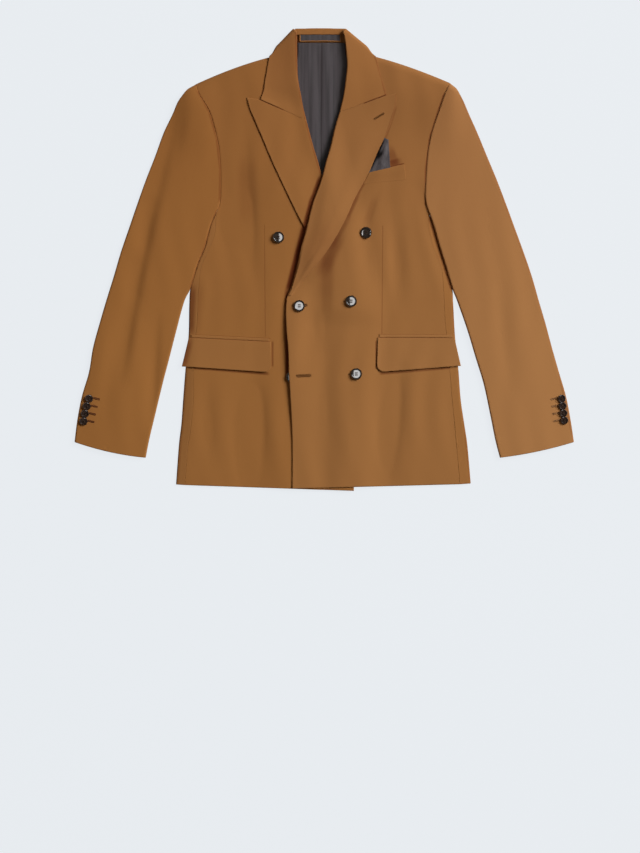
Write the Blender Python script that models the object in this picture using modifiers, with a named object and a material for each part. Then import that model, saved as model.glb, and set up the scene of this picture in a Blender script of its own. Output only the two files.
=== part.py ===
"""A double breasted blazer laid flat on its back, its left front buttoned over its right front.

Left and right are the wearer's: the left front lies at +X. +Y runs from hem to collar, +Z away from
the surface. Sizes are millimetres in this file, and become metres where a mesh is made.

Each cloth piece is a closed wall between two surfaces, both read at the same points of a grid. The
grid follows ribs, straight lines across the piece from one of its edges to the other. Panels that
lie on one another take their heights from the same few functions, so each clears the one below.
"""

import bisect
import math

import bmesh
import bpy

MM = 0.001

# Walls and gaps
BACK_WALL = 1.6
LINING_WALL = 0.8
FRONT_WALL = 2.2
LAPEL_WALL = 2.2
COLLAR_WALL = 1.8
SIDE_WALL = 1.6
SLEEVE_WALL = 1.8
FLAP_WALL = 2.0
JET_WALL = 1.0
WELT_WALL = 1.2
SQUARE_WALL = 0.9
SEAM_GAP = 0.3
REST_GAP = 0.45
LAPEL_GAP = 0.8

# Heights of the layers above the surface
FRONT_REST = 3.4
SIDE_HEIGHT = 5.6
SLEEVE_EDGE = 7.6
SLEEVE_CROWN = 1.4
SLEEVE_HOLLOW_TOP = 5.4
CENTRE_RISE = 1.6
PLEAT_RISE = 0.5
COLLAR_LIFT = COLLAR_WALL + SEAM_GAP
EDGE_DROP_WIDTH = 11.0
EDGE_THICKNESS = 1.0

# Plan sizes
CENTRE_X = -4.5
COLLAR_TOP = 398.0
FALL_EDGE = 351.0
LINING_TOP = 373.0
LINING_END = 128.0
LINING_TUCK = 8.0
BREAK_HEIGHT = -64.0
UNDERLAP_EDGE = 51.0
SLEEVE_WRAP = 16.0
SLEEVE_RADIUS = 3.0
ROLL_RADIUS = 3.0
ROLL_LIFT = 1.6
ROLL_SPREAD = 16.0
FRONT_BUTTON_RADIUS = 10.0
CUFF_BUTTON_RADIUS = 6.9

# Numbers of rows
ARMHOLE_ROWS = 10
LEVEL_ROWS = 14
SLEEVE_ROWS = 12
SHOULDER_SHARES = (0.04, 0.14, 0.3, 0.6)


def table(columns, *rows):
    """Turn rows with named columns into one list for each column."""
    return {name: [row[k] for row in rows] for k, name in enumerate(columns.split())}


ARMHOLE = table(
    "height right left",
    (304, -221, 216), (285, -215, 207), (255, -197.5, 196.5), (231, -190, 188), (209, -184, 182),
    (185, -180, 177.5), (154, -178, 175), (111, -178, 173), (94, -180, 175), (85, -184, 178),
)
SLEEVE_OUTER = table(
    "height right left",
    (298, -228, 225), (292, -236, 229), (281, -245, 235), (271, -252, 240), (250, -261, 249),
    (219, -276, 263), (178, -291, 280), (137, -307, 297), (95, -322, 313), (54, -336, 328),
    (13, -350, 343), (-28, -362, 357), (-70, -375, 369), (-111, -387, 381), (-152, -398, 392),
    (-194, -405, 404), (-235, -417, 416), (-276, -425, 424), (-316, -430, 430),
)
SLEEVE_INNER = table(
    "height right left",
    (85, -184, 178), (60, -195, 187), (22, -205, 198), (-10, -218, 208), (-50, -230, 220),
    (-70, -240, 228), (-123, -254.5, 246.5), (-168, -266, 260), (-214, -278, 274),
    (-270, -291.5, 286), (-310, -301, 294), (-341, -307, 302),
)
BODY_EDGE = table(
    "height right left",
    (76, -187.6, 180.6), (60, -194, 186), (22, -204, 197), (-10, -217, 207), (-50, -229, 219),
    (-70, -232, 221.5), (-130, -233.5, 225), (-190, -239, 231), (-242, -243, 235), (-285, -246, 241),
    (-320, -250, 246), (-390, -255, 252),
)
SIDE_SEAM = table(
    "height right left",
    (76, -182, 176), (48, -187, 180.5), (22, -196, 189), (-10, -210.5, 201), (-50, -216.5, 205),
    (-108, -219, 208), (-147, -223.5, 212.5), (-190, -225, 216), (-242, -225.5, 220),
    (-285, -229, 224), (-320, -234, 227), (-390, -240, 233),
)
BACK_SEAM = table(
    "height right left",
    (82, -178.5, 172.5), (60, -166, 160), (22, -156, 150), (-10, -157, 151), (-50, -161, 155),
    (-130, -168, 162), (-242, -178, 172), (-390, -190, 186),
)
ROLL = table(
    "height right left",
    (392, -47, 31), (384, -47, 34), (360, -46.5, 37), (335, -46, 39), (312, -45, 37), (283, -40, 33),
    (257, -35, 27), (226, -27, 18), (192, -18, 10), (168, -10.5, 3), (140, -3, -4), (120, 2.5, -11),
    (102, 7, -18), (77, 14, -25), (51, 20, -31), (20, 28, -40), (-4, 34, -45), (-30, 40, -52),
    (-52, 46, -59), (-64, 48.5, -64), (-72, 50, -65), (-87, 51, -66), (-121, 51, -65), (-156, 51, -62),
    (-190, 51, -61), (-224, 51, -59), (-259, 51, -57), (-310, 51, -55), (-400, 51, -55),
)
LAPEL_OUTER = table(
    "height right left",
    (285, -134, 123), (278, -133, 123), (262, -129, 122), (236, -118, 115), (214, -108.5, 106),
    (185, -96.5, 92), (150, -81, 77), (106, -60, 53), (68, -41, 36), (22, -13.5, 10), (-13, 9, -16),
    (-40, 26.5, -38), (-64, 42, -56.5),
)
LEAF_OUTER = table(
    "height right left",
    (353, -93, 86), (340, -96, 91), (326, -98.5, 94), (309, -101.5, 99), (292, -104, 104),
    (282, -106, 106), (274, -109, 107),
)

# Ends of the shoulder line at the neck, of the gorge at the roll, and of the gorge at the notch
NECK_POINT = {"right": (-50.0, 358.0), "left": (42.0, 360.0)}
GORGE_ROLL = {"right": (-31.0, 239.0), "left": (26.0, 253.0)}
NOTCH = {"right": (-109.0, 274.0), "left": (106.0, 282.0)}
PEAK = {"right": (-133.0, 278.0), "left": (123.0, 285.0)}
SHOULDER_BOW = {"right": 6.0, "left": 5.0}
HEM = {"right": (-398.0, 40.0, 0.000127), "left": (-394.5, 0.0, 0.000145)}
FOLD_LINE = {"right": ((-47.0, 396.0), (-93.0, 353.0)), "left": ((30.0, 396.0), (86.0, 353.0))}
CUFF_BOW = {"right": -4.0, "left": -3.0}
OUTWARD = {"right": -1.0, "left": 1.0}

# Hip pocket flaps: ends of the top and bottom edges, from the outer end to the front one
FLAP_TOP = {"right": ((-233, -134), (-92, -141)), "left": ((224, -134.5), (92, -134))}
FLAP_BOTTOM = {"right": ((-245, -184), (-91, -194.5)), "left": ((235, -183), (91, -194))}
FLAP_CORNER = 13.0
JET_DEPTH = 5.0
# Corners of the breast pocket's welt and of the square standing in it
WELT = ((80, 151), (137, 164), (141, 137), (84, 132))
SQUARE = ((105.5, 209), (110, 207), (112.5, 158.8), (83.4, 152.3))

FRONT_BUTTONS = table(
    "side x y thickness",
    ("right", -79, 38, 3.8), ("left", 72, 46, 3.8), ("left", -43, -80, 3.8),
    ("left", 46, -72, 3.8), ("left", 55, -197, 3.8), ("right", -56, -202, 3.2),
)
CUFF_BUTTONS = table(
    "right_x right_y left_x left_y",
    (-404, -239, 408, -239), (-408, -252, 409.5, -251.5),
    (-411, -265, 411, -264), (-413.5, -278, 412.5, -276.5),
)
# A button's profile from the middle of its dished face down to its back, as shares of its radius
# and of its thickness
BUTTON_PROFILE = table(
    "out up",
    (0.0, 0.55), (0.5, 0.56), (0.66, 0.9), (0.82, 1.0), (0.97, 0.82), (1.0, 0.5), (0.88, 0.16),
    (0.6, 0.0), (0.0, 0.0),
)

# Soft ridges (+) and troughs (-) of the cloth as it lies: a line, its half width and its height
FOLDS = table(
    "x0 y0 x1 y1 width height",
    (-130, 215, -120, 90, 58, 2.2), (128, 225, 120, 90, 56, 2.2),
    (-128, 122, -124, -5, 17, -1.7), (-112, 0, -104, -30, 18, -0.8), (-205, -20, -206, -70, 13, 0.9),
    (-200, -235, -200, -345, 17, -1.4), (-154, -215, -152, -380, 18, 1.4),
    (-104, -200, -102, -310, 16, -0.8), (-76, -215, -74, -370, 16, 0.9),
    (6, 5, 6, -385, 15, -0.9), (46, -235, 47, -390, 14, 1.0), (88, 120, 84, 70, 12, -1.2),
    (128, 32, 130, -120, 17, -1.2), (124, -205, 124, -330, 17, -1.8), (152, -190, 151, -375, 16, 1.4),
    (190, -230, 192, -370, 18, 0.9),
    (-285, 185, -317, 20, 20, 1.4), (-317, 20, -340, -125, 14, -1.8), (-308, -110, -318, -220, 12, 1.5),
    (-288, -130, -296, -240, 10, -1.4), (-352, -60, -372, -230, 18, 1.0),
    (288, 180, 330, -20, 24, 1.2), (330, -60, 352, -200, 20, 0.9), (300, -60, 318, -190, 14, -1.2),
)
# The left front's edge stands off the right front, over the button that is fastened under it
EDGE_STAND = table("x0 y0 x1 y1 width height", (-58, -110, -56, -215, 30, 4.4))
# Shoulder pads and sleeve heads, which thicken the wall from its outer side
PADS = table(
    "x0 y0 x1 y1 width height",
    (-208, 276, -140, 300, 36, 7.5), (204, 276, 136, 300, 36, 7.5),
    (-226, 268, -222, 236, 28, 5.5), (222, 268, 216, 236, 28, 5.5),
    (-150, 330, -110, 335, 26, 2.2), (142, 330, 104, 335, 26, 2.2),
)


def mix(a, b, share):
    """Go from a to b."""
    return a + (b - a) * share


def smooth(start, end, value):
    """Ease from 0 at start to 1 at end."""
    share = min(max((value - start) / (end - start), 0.0), 1.0)
    return share * share * (3 - 2 * share)


def through(knots, values, at):
    """Read a smooth curve that passes through each value at its knot."""
    if knots[0] > knots[-1]:
        knots, values = knots[::-1], values[::-1]
    at = min(max(at, knots[0]), knots[-1])
    last = len(knots) - 1
    k = min(bisect.bisect_right(knots, at) - 1, last - 1)

    def slope(i):
        low, high = max(i - 1, 0), min(i + 1, last)
        return (values[high] - values[low]) / (knots[high] - knots[low])

    span = knots[k + 1] - knots[k]
    t = (at - knots[k]) / span
    bend = (2 * t - 3) * t * t
    return (
        values[k] * (1 + bend) - values[k + 1] * bend
        + span * (slope(k) * t * (1 - t) ** 2 - slope(k + 1) * (1 - t) * t * t)
    )


def read(rows, side, height):
    """Read a table's column for one side at a height along the garment."""
    return through(rows["height"], rows[side], height)


def waves(rows, x, y):
    """Add up the ridges and troughs of a table of lines at a point."""
    total = 0.0
    for x0, y0, x1, y1, width, height in zip(*rows.values()):
        along = ((x - x0) * (x1 - x0) + (y - y0) * (y1 - y0)) / ((x1 - x0) ** 2 + (y1 - y0) ** 2)
        along = min(max(along, 0.0), 1.0)
        away = math.hypot(x - mix(x0, x1, along), y - mix(y0, y1, along))
        total += height * math.exp(-((away / width) ** 2))
    return total


def edge_round(away, width=EDGE_DROP_WIDTH):
    """Rise along a quarter ellipse from an edge."""
    return math.sqrt(1 - (1 - min(away / width, 1.0)) ** 2)


def neck_rise(x, y):
    """Lift of what lies over the collar's fall at the back of the neck."""
    return COLLAR_LIFT * smooth(240, 349, y) * (1 - smooth(110, 210, abs(x)))


def lower_edge(y):
    """Where the right front ends under the left one, lapel roll included."""
    return read(ROLL, "right", y)


def over_lower(x, y):
    """Lift of the left front where it lies over the right front and over that front's lapel."""
    beyond = smooth(lower_edge(y) + 6, lower_edge(y) + 62, x)
    lapel_start = read(LAPEL_OUTER, "right", y)
    on_lapel = smooth(lapel_start - 88, lapel_start - 13, x) * smooth(-118, -80, y)
    return (FRONT_WALL + REST_GAP) * (1 - beyond) + (LAPEL_WALL + LAPEL_GAP) * on_lapel * (1 - beyond)


def front_under(side, x, y):
    """Height of a front's underside."""
    centre = CENTRE_RISE * (1 - smooth(55, 120, abs(x - CENTRE_X)))
    lift = max(FRONT_REST - BACK_WALL - SEAM_GAP + centre + waves(FOLDS, x, y), 0.0)
    if side == "left":
        lift += over_lower(x, y) + waves(EDGE_STAND, x, y)
    return BACK_WALL + SEAM_GAP + neck_rise(x, y) + lift


def front_top(side, x, y):
    """Height of a front's outer side."""
    return front_under(side, x, y) + FRONT_WALL + waves(PADS, x, y)


def hem_height(side, x):
    """Where a front's hem runs at a place across the body."""
    level, middle, curve = HEM[side]
    return level + curve * (x - middle) ** 2


def shell(name, finish, columns, rows, outer, inner):
    """Make a closed wall from an outer and an inner surface, both given at (column, row)."""
    mesh_data = bmesh.new()
    width = len(columns)
    bmesh.ops.create_grid(mesh_data, x_segments=width - 1, y_segments=len(rows) - 1, size=1)
    mesh_data.verts.ensure_lookup_table()
    places = [(columns[k % width], rows[k // width]) for k in range(len(mesh_data.verts))]
    inside = mesh_data.verts[:]
    bmesh.ops.extrude_face_region(mesh_data, geom=mesh_data.faces[:])
    outside = mesh_data.verts[len(inside):]
    partner = {tuple(round(c, 4) for c in vert.co): vert for vert in outside}
    matched = [partner[tuple(round(c, 4) for c in vert.co)] for vert in inside]
    for place, low, high in zip(places, inside, matched):
        low.co = [c * MM for c in inner(*place)]
        high.co = [c * MM for c in outer(*place)]
    bmesh.ops.triangulate(mesh_data, faces=mesh_data.faces[:], quad_method="SHORT_EDGE")
    bmesh.ops.recalc_face_normals(mesh_data, faces=mesh_data.faces[:])
    mesh = bpy.data.meshes.new(name)
    mesh_data.to_mesh(mesh)
    mesh_data.free()
    return add_piece(name, finish, mesh)


def add_piece(name, finish, mesh):
    """Put a mesh in the garment's collection under its name, with its own material."""
    piece = bpy.data.objects.new(name, mesh)
    garment.objects.link(piece)
    mesh.shade_smooth()
    mesh.set_sharp_from_angle(angle=math.radians(40))
    mesh.materials.clear()
    mesh.materials.append(material(name, *FINISHES[finish]))
    return piece


def material(name, colour, roughness, metallic):
    """Make a plain material for one piece."""
    made = bpy.data.materials.new(name)
    made.use_nodes = True
    shader = made.node_tree.nodes["Principled BSDF"]
    shader.inputs["Base Color"].default_value = (*colour, 1.0)
    shader.inputs["Roughness"].default_value = roughness
    shader.inputs["Metallic"].default_value = metallic
    return made


FINISHES = {
    "wool": ((0.30, 0.145, 0.055), 0.9, 0.0),
    "lining": ((0.075, 0.06, 0.065), 0.6, 0.0),
    "button": ((0.035, 0.025, 0.02), 0.3, 0.0),
}


def shares(count):
    """Return evenly spaced shares from 0 to 1."""
    return [k / count for k in range(count + 1)]


def level_height(side, nominal, x):
    """Height of a body level at x: level at the armhole, following the hem at the hem."""
    low, top = -392.0, 82.0
    sink = (top - nominal) / (top - low)
    return nominal + (hem_height(side, x) - low) * smooth(0.6, 1.0, sink)


LEVELS = [mix(72.0, -392.0, share) for share in shares(LEVEL_ROWS)]
LEVELS[4] = BREAK_HEIGHT + 0.6
LEVELS[5] = BREAK_HEIGHT - 18.0


def seam_x(rows, side, level):
    """Place of a side seam: straight from the underarm to the second level, then as its table."""
    start_x, start_y = armhole_point(side, 1.0)
    share = max((level - LEVELS[1]) / (start_y - LEVELS[1]), 0.0)
    return mix(read(rows, side, min(level, LEVELS[1])), start_x, share)


def armhole_point(side, share):
    """A point of the armhole seam, from the shoulder at 0 to the underarm at 1."""
    top = ARMHOLE["height"][0] - (2 if side == "right" else 0)
    height = mix(top, 85.0, share)
    return read(ARMHOLE, side, height), height


def inner_edge(side, y):
    """Where a front's wall ends: behind the rolled lapel, or at the plain front edge."""
    inset = (LAPEL_WALL + 0.6) * smooth(BREAK_HEIGHT - 17, BREAK_HEIGHT, y)
    return read(ROLL, side, y) + OUTWARD[side] * inset


def front_ribs(side):
    """Ribs of a front from its armhole and side seam to its roll line and front edge."""
    ribs = []
    out = OUTWARD[side]
    neck_x, neck_y = NECK_POINT[side]
    for share in shares(ARMHOLE_ROWS):
        x, y = armhole_point(side, share)
        inner_y = mix(neck_y, 82.0, share)
        inner_x = mix(neck_x, inner_edge(side, inner_y), smooth(0, 0.08, share))
        bow = SHOULDER_BOW[side] * (1 - smooth(0, 0.3, share))
        ribs.append((x - out * SEAM_GAP / 2, y, inner_x, inner_y, bow))
    for level in LEVELS[1:]:
        x = read(SIDE_SEAM, side, level) - out * SEAM_GAP / 2
        edge_x = inner_edge(side, level)
        ribs.append((x, level_height(side, level, x), edge_x, level_height(side, level, edge_x), 0.0))
    return ribs


def rib_point(ribs, across, along):
    """A point in plan, across a rib and along the row of ribs."""
    k = min(int(along), len(ribs) - 2)
    x0, y0, x1, y1, bow = (mix(a, b, along - k) for a, b in zip(ribs[k], ribs[k + 1]))
    return mix(x0, x1, across), mix(y0, y1, across) + 4 * bow * across * (1 - across)


def body_rows():
    """Rows of a body panel: close together where it rounds over the shoulder."""
    return [0.0, *SHOULDER_SHARES, *(float(k) for k in range(1, ARMHOLE_ROWS + LEVEL_ROWS + 1))]


def make_front(side, columns):
    """Cut one front: a wall that rounds down to the back at the shoulder."""
    ribs = front_ribs(side)

    def place(across, along):
        x, y = rib_point(ribs, across, along)
        return x, y, edge_round(math.dist((x, y), rib_point(ribs, across, 0.0)))

    def inner(across, along):
        x, y, share = place(across, along)
        low = BACK_WALL + SEAM_GAP + neck_rise(x, y)
        return x, y, mix(low, front_under(side, x, y), share)

    def outer(across, along):
        x, y, share = place(across, along)
        low = BACK_WALL + SEAM_GAP + neck_rise(x, y) + EDGE_THICKNESS
        return x, y, mix(low, front_top(side, x, y), share)

    shell(f"front_{side}", "wool", columns, body_rows(), outer, inner)


def make_back(side):
    """Cut one back panel, flat on the surface, and over the collar's fall at the neck."""
    ribs = []
    out = OUTWARD[side]
    centre = CENTRE_X + out * SEAM_GAP / 2
    for share in shares(ARMHOLE_ROWS):
        x, y = armhole_point(side, share)
        if share == 0:
            x, y = (mix(a, b, 0.08) for a, b in zip((x, y), armhole_point(side, 1 / ARMHOLE_ROWS)))
        bow = 10.0 * (1 - smooth(0, 0.3, share))
        ribs.append((x - out * SEAM_GAP / 2, y, centre, mix(361.0, 82.0, share), bow))
    for level in LEVELS[1:]:
        x = read(BACK_SEAM, side, level) - out * SEAM_GAP / 2
        hem = 1.5 * smooth(-300, -392, level)
        ends = [level_height(side, level, end) + hem for end in (x, centre)]
        ribs.append((x, ends[0], centre, ends[1], 0.0))

    def inner(across, along):
        x, y = rib_point(ribs, across, along)
        return x, y, neck_rise(x, y)

    def outer(across, along):
        x, y, z = inner(across, along)
        return x, y, z + BACK_WALL

    rows = [float(k) for k in range(ARMHOLE_ROWS + LEVEL_ROWS + 1)]
    shell(f"back_{side}", "wool", shares(4), rows, outer, inner)


ROUND_ANGLES = [math.radians(angle) for angle in (90, 50, 10, -35, -90)]


def make_side_panel(side):
    """Cut the side body, which folds round the edge from the front to the underside."""
    out = OUTWARD[side]
    radius = SIDE_HEIGHT / 2
    stretch = shares(2)[:-1]
    steps = [("top", share) for share in stretch]
    steps += [("round", angle) for angle in ROUND_ANGLES]
    steps += [("under", share) for share in shares(3)[1:]]

    def place(step, level, depth):
        """Point of the folded wall, depth below its outer side."""
        kind, value = step
        edge = read(BODY_EDGE, side, level)
        seam = abs(edge - seam_x(SIDE_SEAM, side, level)) - SEAM_GAP / 2
        back = abs(edge - seam_x(BACK_SEAM, side, level)) - SEAM_GAP / 2
        if kind == "top":
            inward, z = mix(seam, radius, value), SIDE_HEIGHT - depth
        elif kind == "round":
            inward = radius - (radius - depth) * math.cos(value)
            z = radius + (radius - depth) * math.sin(value)
        else:
            inward, z = mix(radius, back, value), depth
        x = edge - out * inward
        if z > radius:
            z += waves(FOLDS, x, level)
        return x, level_height(side, level, edge - out * min(inward, seam)), z

    shell(
        f"side_panel_{side}", "wool", steps, LEVELS,
        lambda step, level: place(step, level, 0.0),
        lambda step, level: place(step, level, SIDE_WALL),
    )


def roll_steps(run):
    """Steps across a lapel or a collar: up its roll, round it, and over to its outer edge."""
    leg = [("leg", 1.0), ("leg", 0.0)]
    turn = [("turn", math.radians(angle)) for angle in (25, 55, 90)]
    return leg + turn + [("run", share) for share in run]


def roll_section(step, width, leg, depth):
    """Distance from the roll line, and drop below the outer side, of a rolled wall's section."""
    kind, value = step
    if kind == "leg":
        return depth, mix(ROLL_RADIUS, leg, value)
    if kind == "turn":
        inside = ROLL_RADIUS - depth
        return ROLL_RADIUS - inside * math.cos(value), ROLL_RADIUS - inside * math.sin(value)
    return mix(ROLL_RADIUS, width, value), depth


def roll_lift(side, away, y):
    """How far a soft roll lifts the cloth near the roll line: not where the left front lies on it."""
    free = smooth(125, 185, y) if side == "right" else 1.0
    return ROLL_LIFT * free * math.exp(-((away / ROLL_SPREAD) ** 2))


def make_lapel(side):
    """Fold one lapel over its front, from the gorge down to the break of the roll."""
    out = OUTWARD[side]
    run = (0.12, 0.25, 0.4, 0.55, 0.7, 0.85, 1.0)
    roll_x, roll_y = GORGE_ROLL[side]
    notch_share = (NOTCH[side][0] - roll_x) / (PEAK[side][0] - roll_x)
    notch_rise = NOTCH[side][1] - mix(roll_y, PEAK[side][1], notch_share)

    def place(step, row, depth):
        start_y = mix(roll_y, BREAK_HEIGHT + 1.5, row)
        end_y = mix(PEAK[side][1], BREAK_HEIGHT + 1.5, row)
        start_x, end_x = read(ROLL, side, start_y), read(LAPEL_OUTER, side, end_y)
        width = math.hypot(end_x - start_x, end_y - start_y)
        base = front_top(side, start_x + out * 4, start_y) + LAPEL_GAP + LAPEL_WALL
        base += roll_lift(side, 0, start_y)
        leg = base - front_under(side, start_x + out * 2, start_y)
        away, drop = roll_section(step, width, leg, depth)
        share = away / width
        x, y = mix(start_x, end_x, share), mix(start_y, end_y, share)
        tent = share / notch_share if share < notch_share else (1 - share) / (1 - notch_share)
        y += notch_rise * tent * (1 - smooth(0, 0.2, row)) - SEAM_GAP * (1 - row)
        if step[0] == "run":
            top = front_top(side, x, y) + LAPEL_GAP + LAPEL_WALL + roll_lift(side, away, start_y)
            return x, y, top - drop
        return x, y, base - drop

    rows = [0.0, 0.05, 0.11, 0.18, 0.26, 0.34, 0.43, 0.52, 0.61, 0.7, 0.8, 0.9, 1.0]
    shell(
        f"lapel_{side}", "wool", roll_steps(run), rows,
        lambda step, row: place(step, row, 0.0),
        lambda step, row: place(step, row, LAPEL_WALL),
    )


def make_collar():
    """Cut the collar: a leaf on each front, folded over the shoulder line to the fall behind."""
    run = (0.14, 0.34, 0.56, 0.78, 1.0)
    leaf_rows = shares(6)
    fold_angles = [math.radians(angle) for angle in (30, 65, 100, 140)]
    fall_rows = shares(8)
    inset = 4.8

    def leaf_point(side, share, step, depth):
        """A point of the leaf that lies on a front, share 0 at the gorge and 1 at the fold."""
        start_y = mix(GORGE_ROLL[side][1] + SEAM_GAP, FOLD_LINE[side][0][1] - inset, share)
        end_y = mix(NOTCH[side][1] + SEAM_GAP, FOLD_LINE[side][1][1] - inset, share)
        start_x, end_x = read(ROLL, side, start_y), read(LEAF_OUTER, side, end_y)
        end_x = mix(NOTCH[side][0], end_x, smooth(0, 0.2, share))
        width = math.hypot(end_x - start_x, end_y - start_y)
        seat = start_x + OUTWARD[side] * 4
        base = front_top(side, seat, min(start_y, 360)) + REST_GAP + COLLAR_WALL
        base += roll_lift(side, 0, start_y)
        leg = base - front_under(side, seat, min(start_y, 360))
        leg = mix(leg, 4.0, smooth(0.5, 1.0, share))
        away, drop = roll_section(step, width, leg, depth)
        x, y = mix(start_x, end_x, away / width), mix(start_y, end_y, away / width)
        if step[0] == "run":
            base = front_top(side, x, y) + REST_GAP + COLLAR_WALL + roll_lift(side, away, start_y)
        return x, y, base - drop, base, drop

    def place(step, station, depth):
        kind, side, value = station
        if kind == "leaf":
            return leaf_point(side, value, step, depth)[:3]
        x, y, z, base, drop = leaf_point(side, 1.0, step, depth)
        radius = base / 2
        (ax, ay), (bx, by) = FOLD_LINE[side]
        length = math.hypot(bx - ax, by - ay)
        normal = ((ay - by) / length * OUTWARD[side], abs(bx - ax) / length)
        if kind == "fold":
            reach = (radius - drop) * math.sin(value)
            return x + normal[0] * reach, y + normal[1] * reach, radius + (radius - drop) * math.cos(value)
        # The fall: from under the right fold line to under the left one
        left = leaf_point("left", 1.0, step, depth)
        right = leaf_point("right", 1.0, step, depth)
        x, y = mix(right[0], left[0], value), mix(right[1], left[1], value)
        middle = 4 * value * (1 - value)
        raise_top = (COLLAR_TOP - FOLD_LINE["right"][0][1] + inset) * (1 - abs(2 * value - 1) ** 6)
        if step[0] == "run":
            y += mix(raise_top, (FALL_EDGE - 348.0) * middle, step[1])
        else:
            y += raise_top
        stretch = 1 + 0.4 * middle if step[0] == "leg" else 1.0
        return x, y, drop * stretch

    stations = [("leaf", "right", share) for share in leaf_rows]
    stations += [("fold", "right", angle) for angle in fold_angles]
    stations += [("fall", "right", share) for share in fall_rows]
    stations += [("fold", "left", angle) for angle in reversed(fold_angles)]
    stations += [("leaf", "left", share) for share in reversed(leaf_rows)]
    shell(
        "collar", "wool", roll_steps(run), stations,
        lambda step, station: place(step, station, 0.0),
        lambda step, station: place(step, station, COLLAR_WALL),
    )


def make_neck():
    """Make what shows inside the back of the neck: stand, bare band, piping and lining."""
    slab("collar_stand", "wool", (-41.0, 27.2), (392.6, 387.0), 3.8, 1.7)
    slab("neck_band", "lining", (-41.0, 27.2), (386.6, 378.2), 4.0, 1.0)
    line = bpy.data.curves.new("neck_piping", "CURVE")
    line.dimensions = "3D"
    spline = line.splines.new("POLY")
    points = [(-41.0, 375.6), (-24.0, 376.4), (-6.0, 376.6), (12.0, 376.4), (28.0, 375.6)]
    spline.points.add(len(points) - 1)
    for point, (x, y) in zip(spline.points, points):
        point.co = (x * MM, y * MM, 5.0 * MM, 1.0)
    line.bevel_depth = 0.9 * MM
    line.bevel_resolution = 1
    line.use_fill_caps = True
    guide = bpy.data.objects.new("neck_piping_line", line)
    garment.objects.link(guide)
    mesh = welded_mesh(guide, "neck_piping")
    bpy.data.objects.remove(guide)
    add_piece("neck_piping", "wool", mesh)

    def lining(depth):
        def place(column, y):
            tuck = LINING_TUCK * (1 - smooth(325, 355, y))
            left_x = read(ROLL, "right", y) - tuck
            right_x = read(ROLL, "left", y) + tuck
            pleat_from, pleat_to = CENTRE_X - 1.4, CENTRE_X + 7.0
            x = (left_x, mix(left_x, pleat_from, 0.55), pleat_from, pleat_from + 0.5,
                 pleat_to, pleat_to + 0.5, mix(pleat_to, right_x, 0.45), right_x)[column]
            pleat = PLEAT_RISE if column in (3, 4) else 0.0
            low = BACK_WALL + SEAM_GAP + neck_rise(x, y)
            return x, y, low + (LINING_WALL + pleat) * depth
        return place

    heights = [mix(LINING_TOP, LINING_END, share) for share in shares(11)]
    shell("back_lining", "lining", list(range(8)), heights, lining(1.0), lining(0.0))


def slab(name, finish, across, along, low, wall):
    """Make a thin strip of even thickness."""
    def place(depth):
        return lambda u, v: (mix(*across, u), mix(*along, v), low + wall * depth)
    shell(name, finish, shares(4), shares(1), place(1.0), place(0.0))


def welded_mesh(piece, name):
    """Return an object's evaluated mesh with its doubled points joined."""
    bpy.context.view_layer.update()
    graph = bpy.context.evaluated_depsgraph_get()
    mesh = bpy.data.meshes.new_from_object(piece.evaluated_get(graph))
    mesh.name = name
    mesh_data = bmesh.new()
    mesh_data.from_mesh(mesh)
    bmesh.ops.remove_doubles(mesh_data, verts=mesh_data.verts[:], dist=0.00002)
    bmesh.ops.recalc_face_normals(mesh_data, faces=mesh_data.faces[:])
    mesh_data.to_mesh(mesh)
    mesh_data.free()
    return mesh


def sleeve_rib(side, along):
    """Inner and outer end of a sleeve's rib, and how far its inner edge is folded under."""
    out = OUTWARD[side]
    if along <= ARMHOLE_ROWS:
        k = min(int(along), ARMHOLE_ROWS - 1)
        start = armhole_point(side, k / ARMHOLE_ROWS)
        end = armhole_point(side, (k + 1) / ARMHOLE_ROWS)
        x, y = (mix(a, b, along - k) for a, b in zip(start, end))
        share = along / ARMHOLE_ROWS
        outer_y = mix(295.0, 110.0, share)
    else:
        share = (along - ARMHOLE_ROWS) / SLEEVE_ROWS
        y = mix(85.0, -341.0, share)
        x = read(SLEEVE_INNER, side, y)
        outer_y = mix(110.0, -314.0, share)
    wrap = smooth(ARMHOLE_ROWS - 1, ARMHOLE_ROWS + 1, along)
    return (x + out * SEAM_GAP / 2, y), (read(SLEEVE_OUTER, side, outer_y), outer_y), wrap


def sleeve_plan(side, along, away):
    """Point in plan at a distance from the inner edge along a sleeve's rib, and its share."""
    (x0, y0), (x1, y1), _ = sleeve_rib(side, along)
    share = away / math.hypot(x1 - x0, y1 - y0)
    bow = CUFF_BOW[side] * smooth(ARMHOLE_ROWS + SLEEVE_ROWS - 3, ARMHOLE_ROWS + SLEEVE_ROWS, along)
    return mix(x0, x1, share), mix(y0, y1, share) + 4 * bow * share * (1 - share), share


def sleeve_top(side, along, away):
    """Height of a sleeve's outer side, which starts low at the end of the shoulder."""
    x, y, share = sleeve_plan(side, along, away)
    crown = SLEEVE_CROWN * math.sin(math.pi * min(max(share, 0.0), 1.0))
    full = SLEEVE_EDGE + crown + waves(FOLDS, x, y) + waves(PADS, x, y)
    start = math.dist((x, y), sleeve_plan(side, 0.0, sleeve_width(side, 0.0) * share)[:2])
    low = BACK_WALL + SEAM_GAP + EDGE_THICKNESS
    return mix(low, full, edge_round(start))


def sleeve_height(side, x, y):
    """Height of a sleeve's outer side near its cuff, at a point in plan."""
    inner_x, outer_x = read(SLEEVE_INNER, side, y - 27.0), read(SLEEVE_OUTER, side, y)
    share = min(max((x - inner_x) / (outer_x - inner_x), 0.0), 1.0)
    return SLEEVE_EDGE + SLEEVE_CROWN * math.sin(math.pi * share) + waves(FOLDS, x, y)


def sleeve_width(side, along):
    """Distance between the two edges of a sleeve's rib."""
    start, end, _ = sleeve_rib(side, along)
    return math.dist(start, end)


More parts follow.
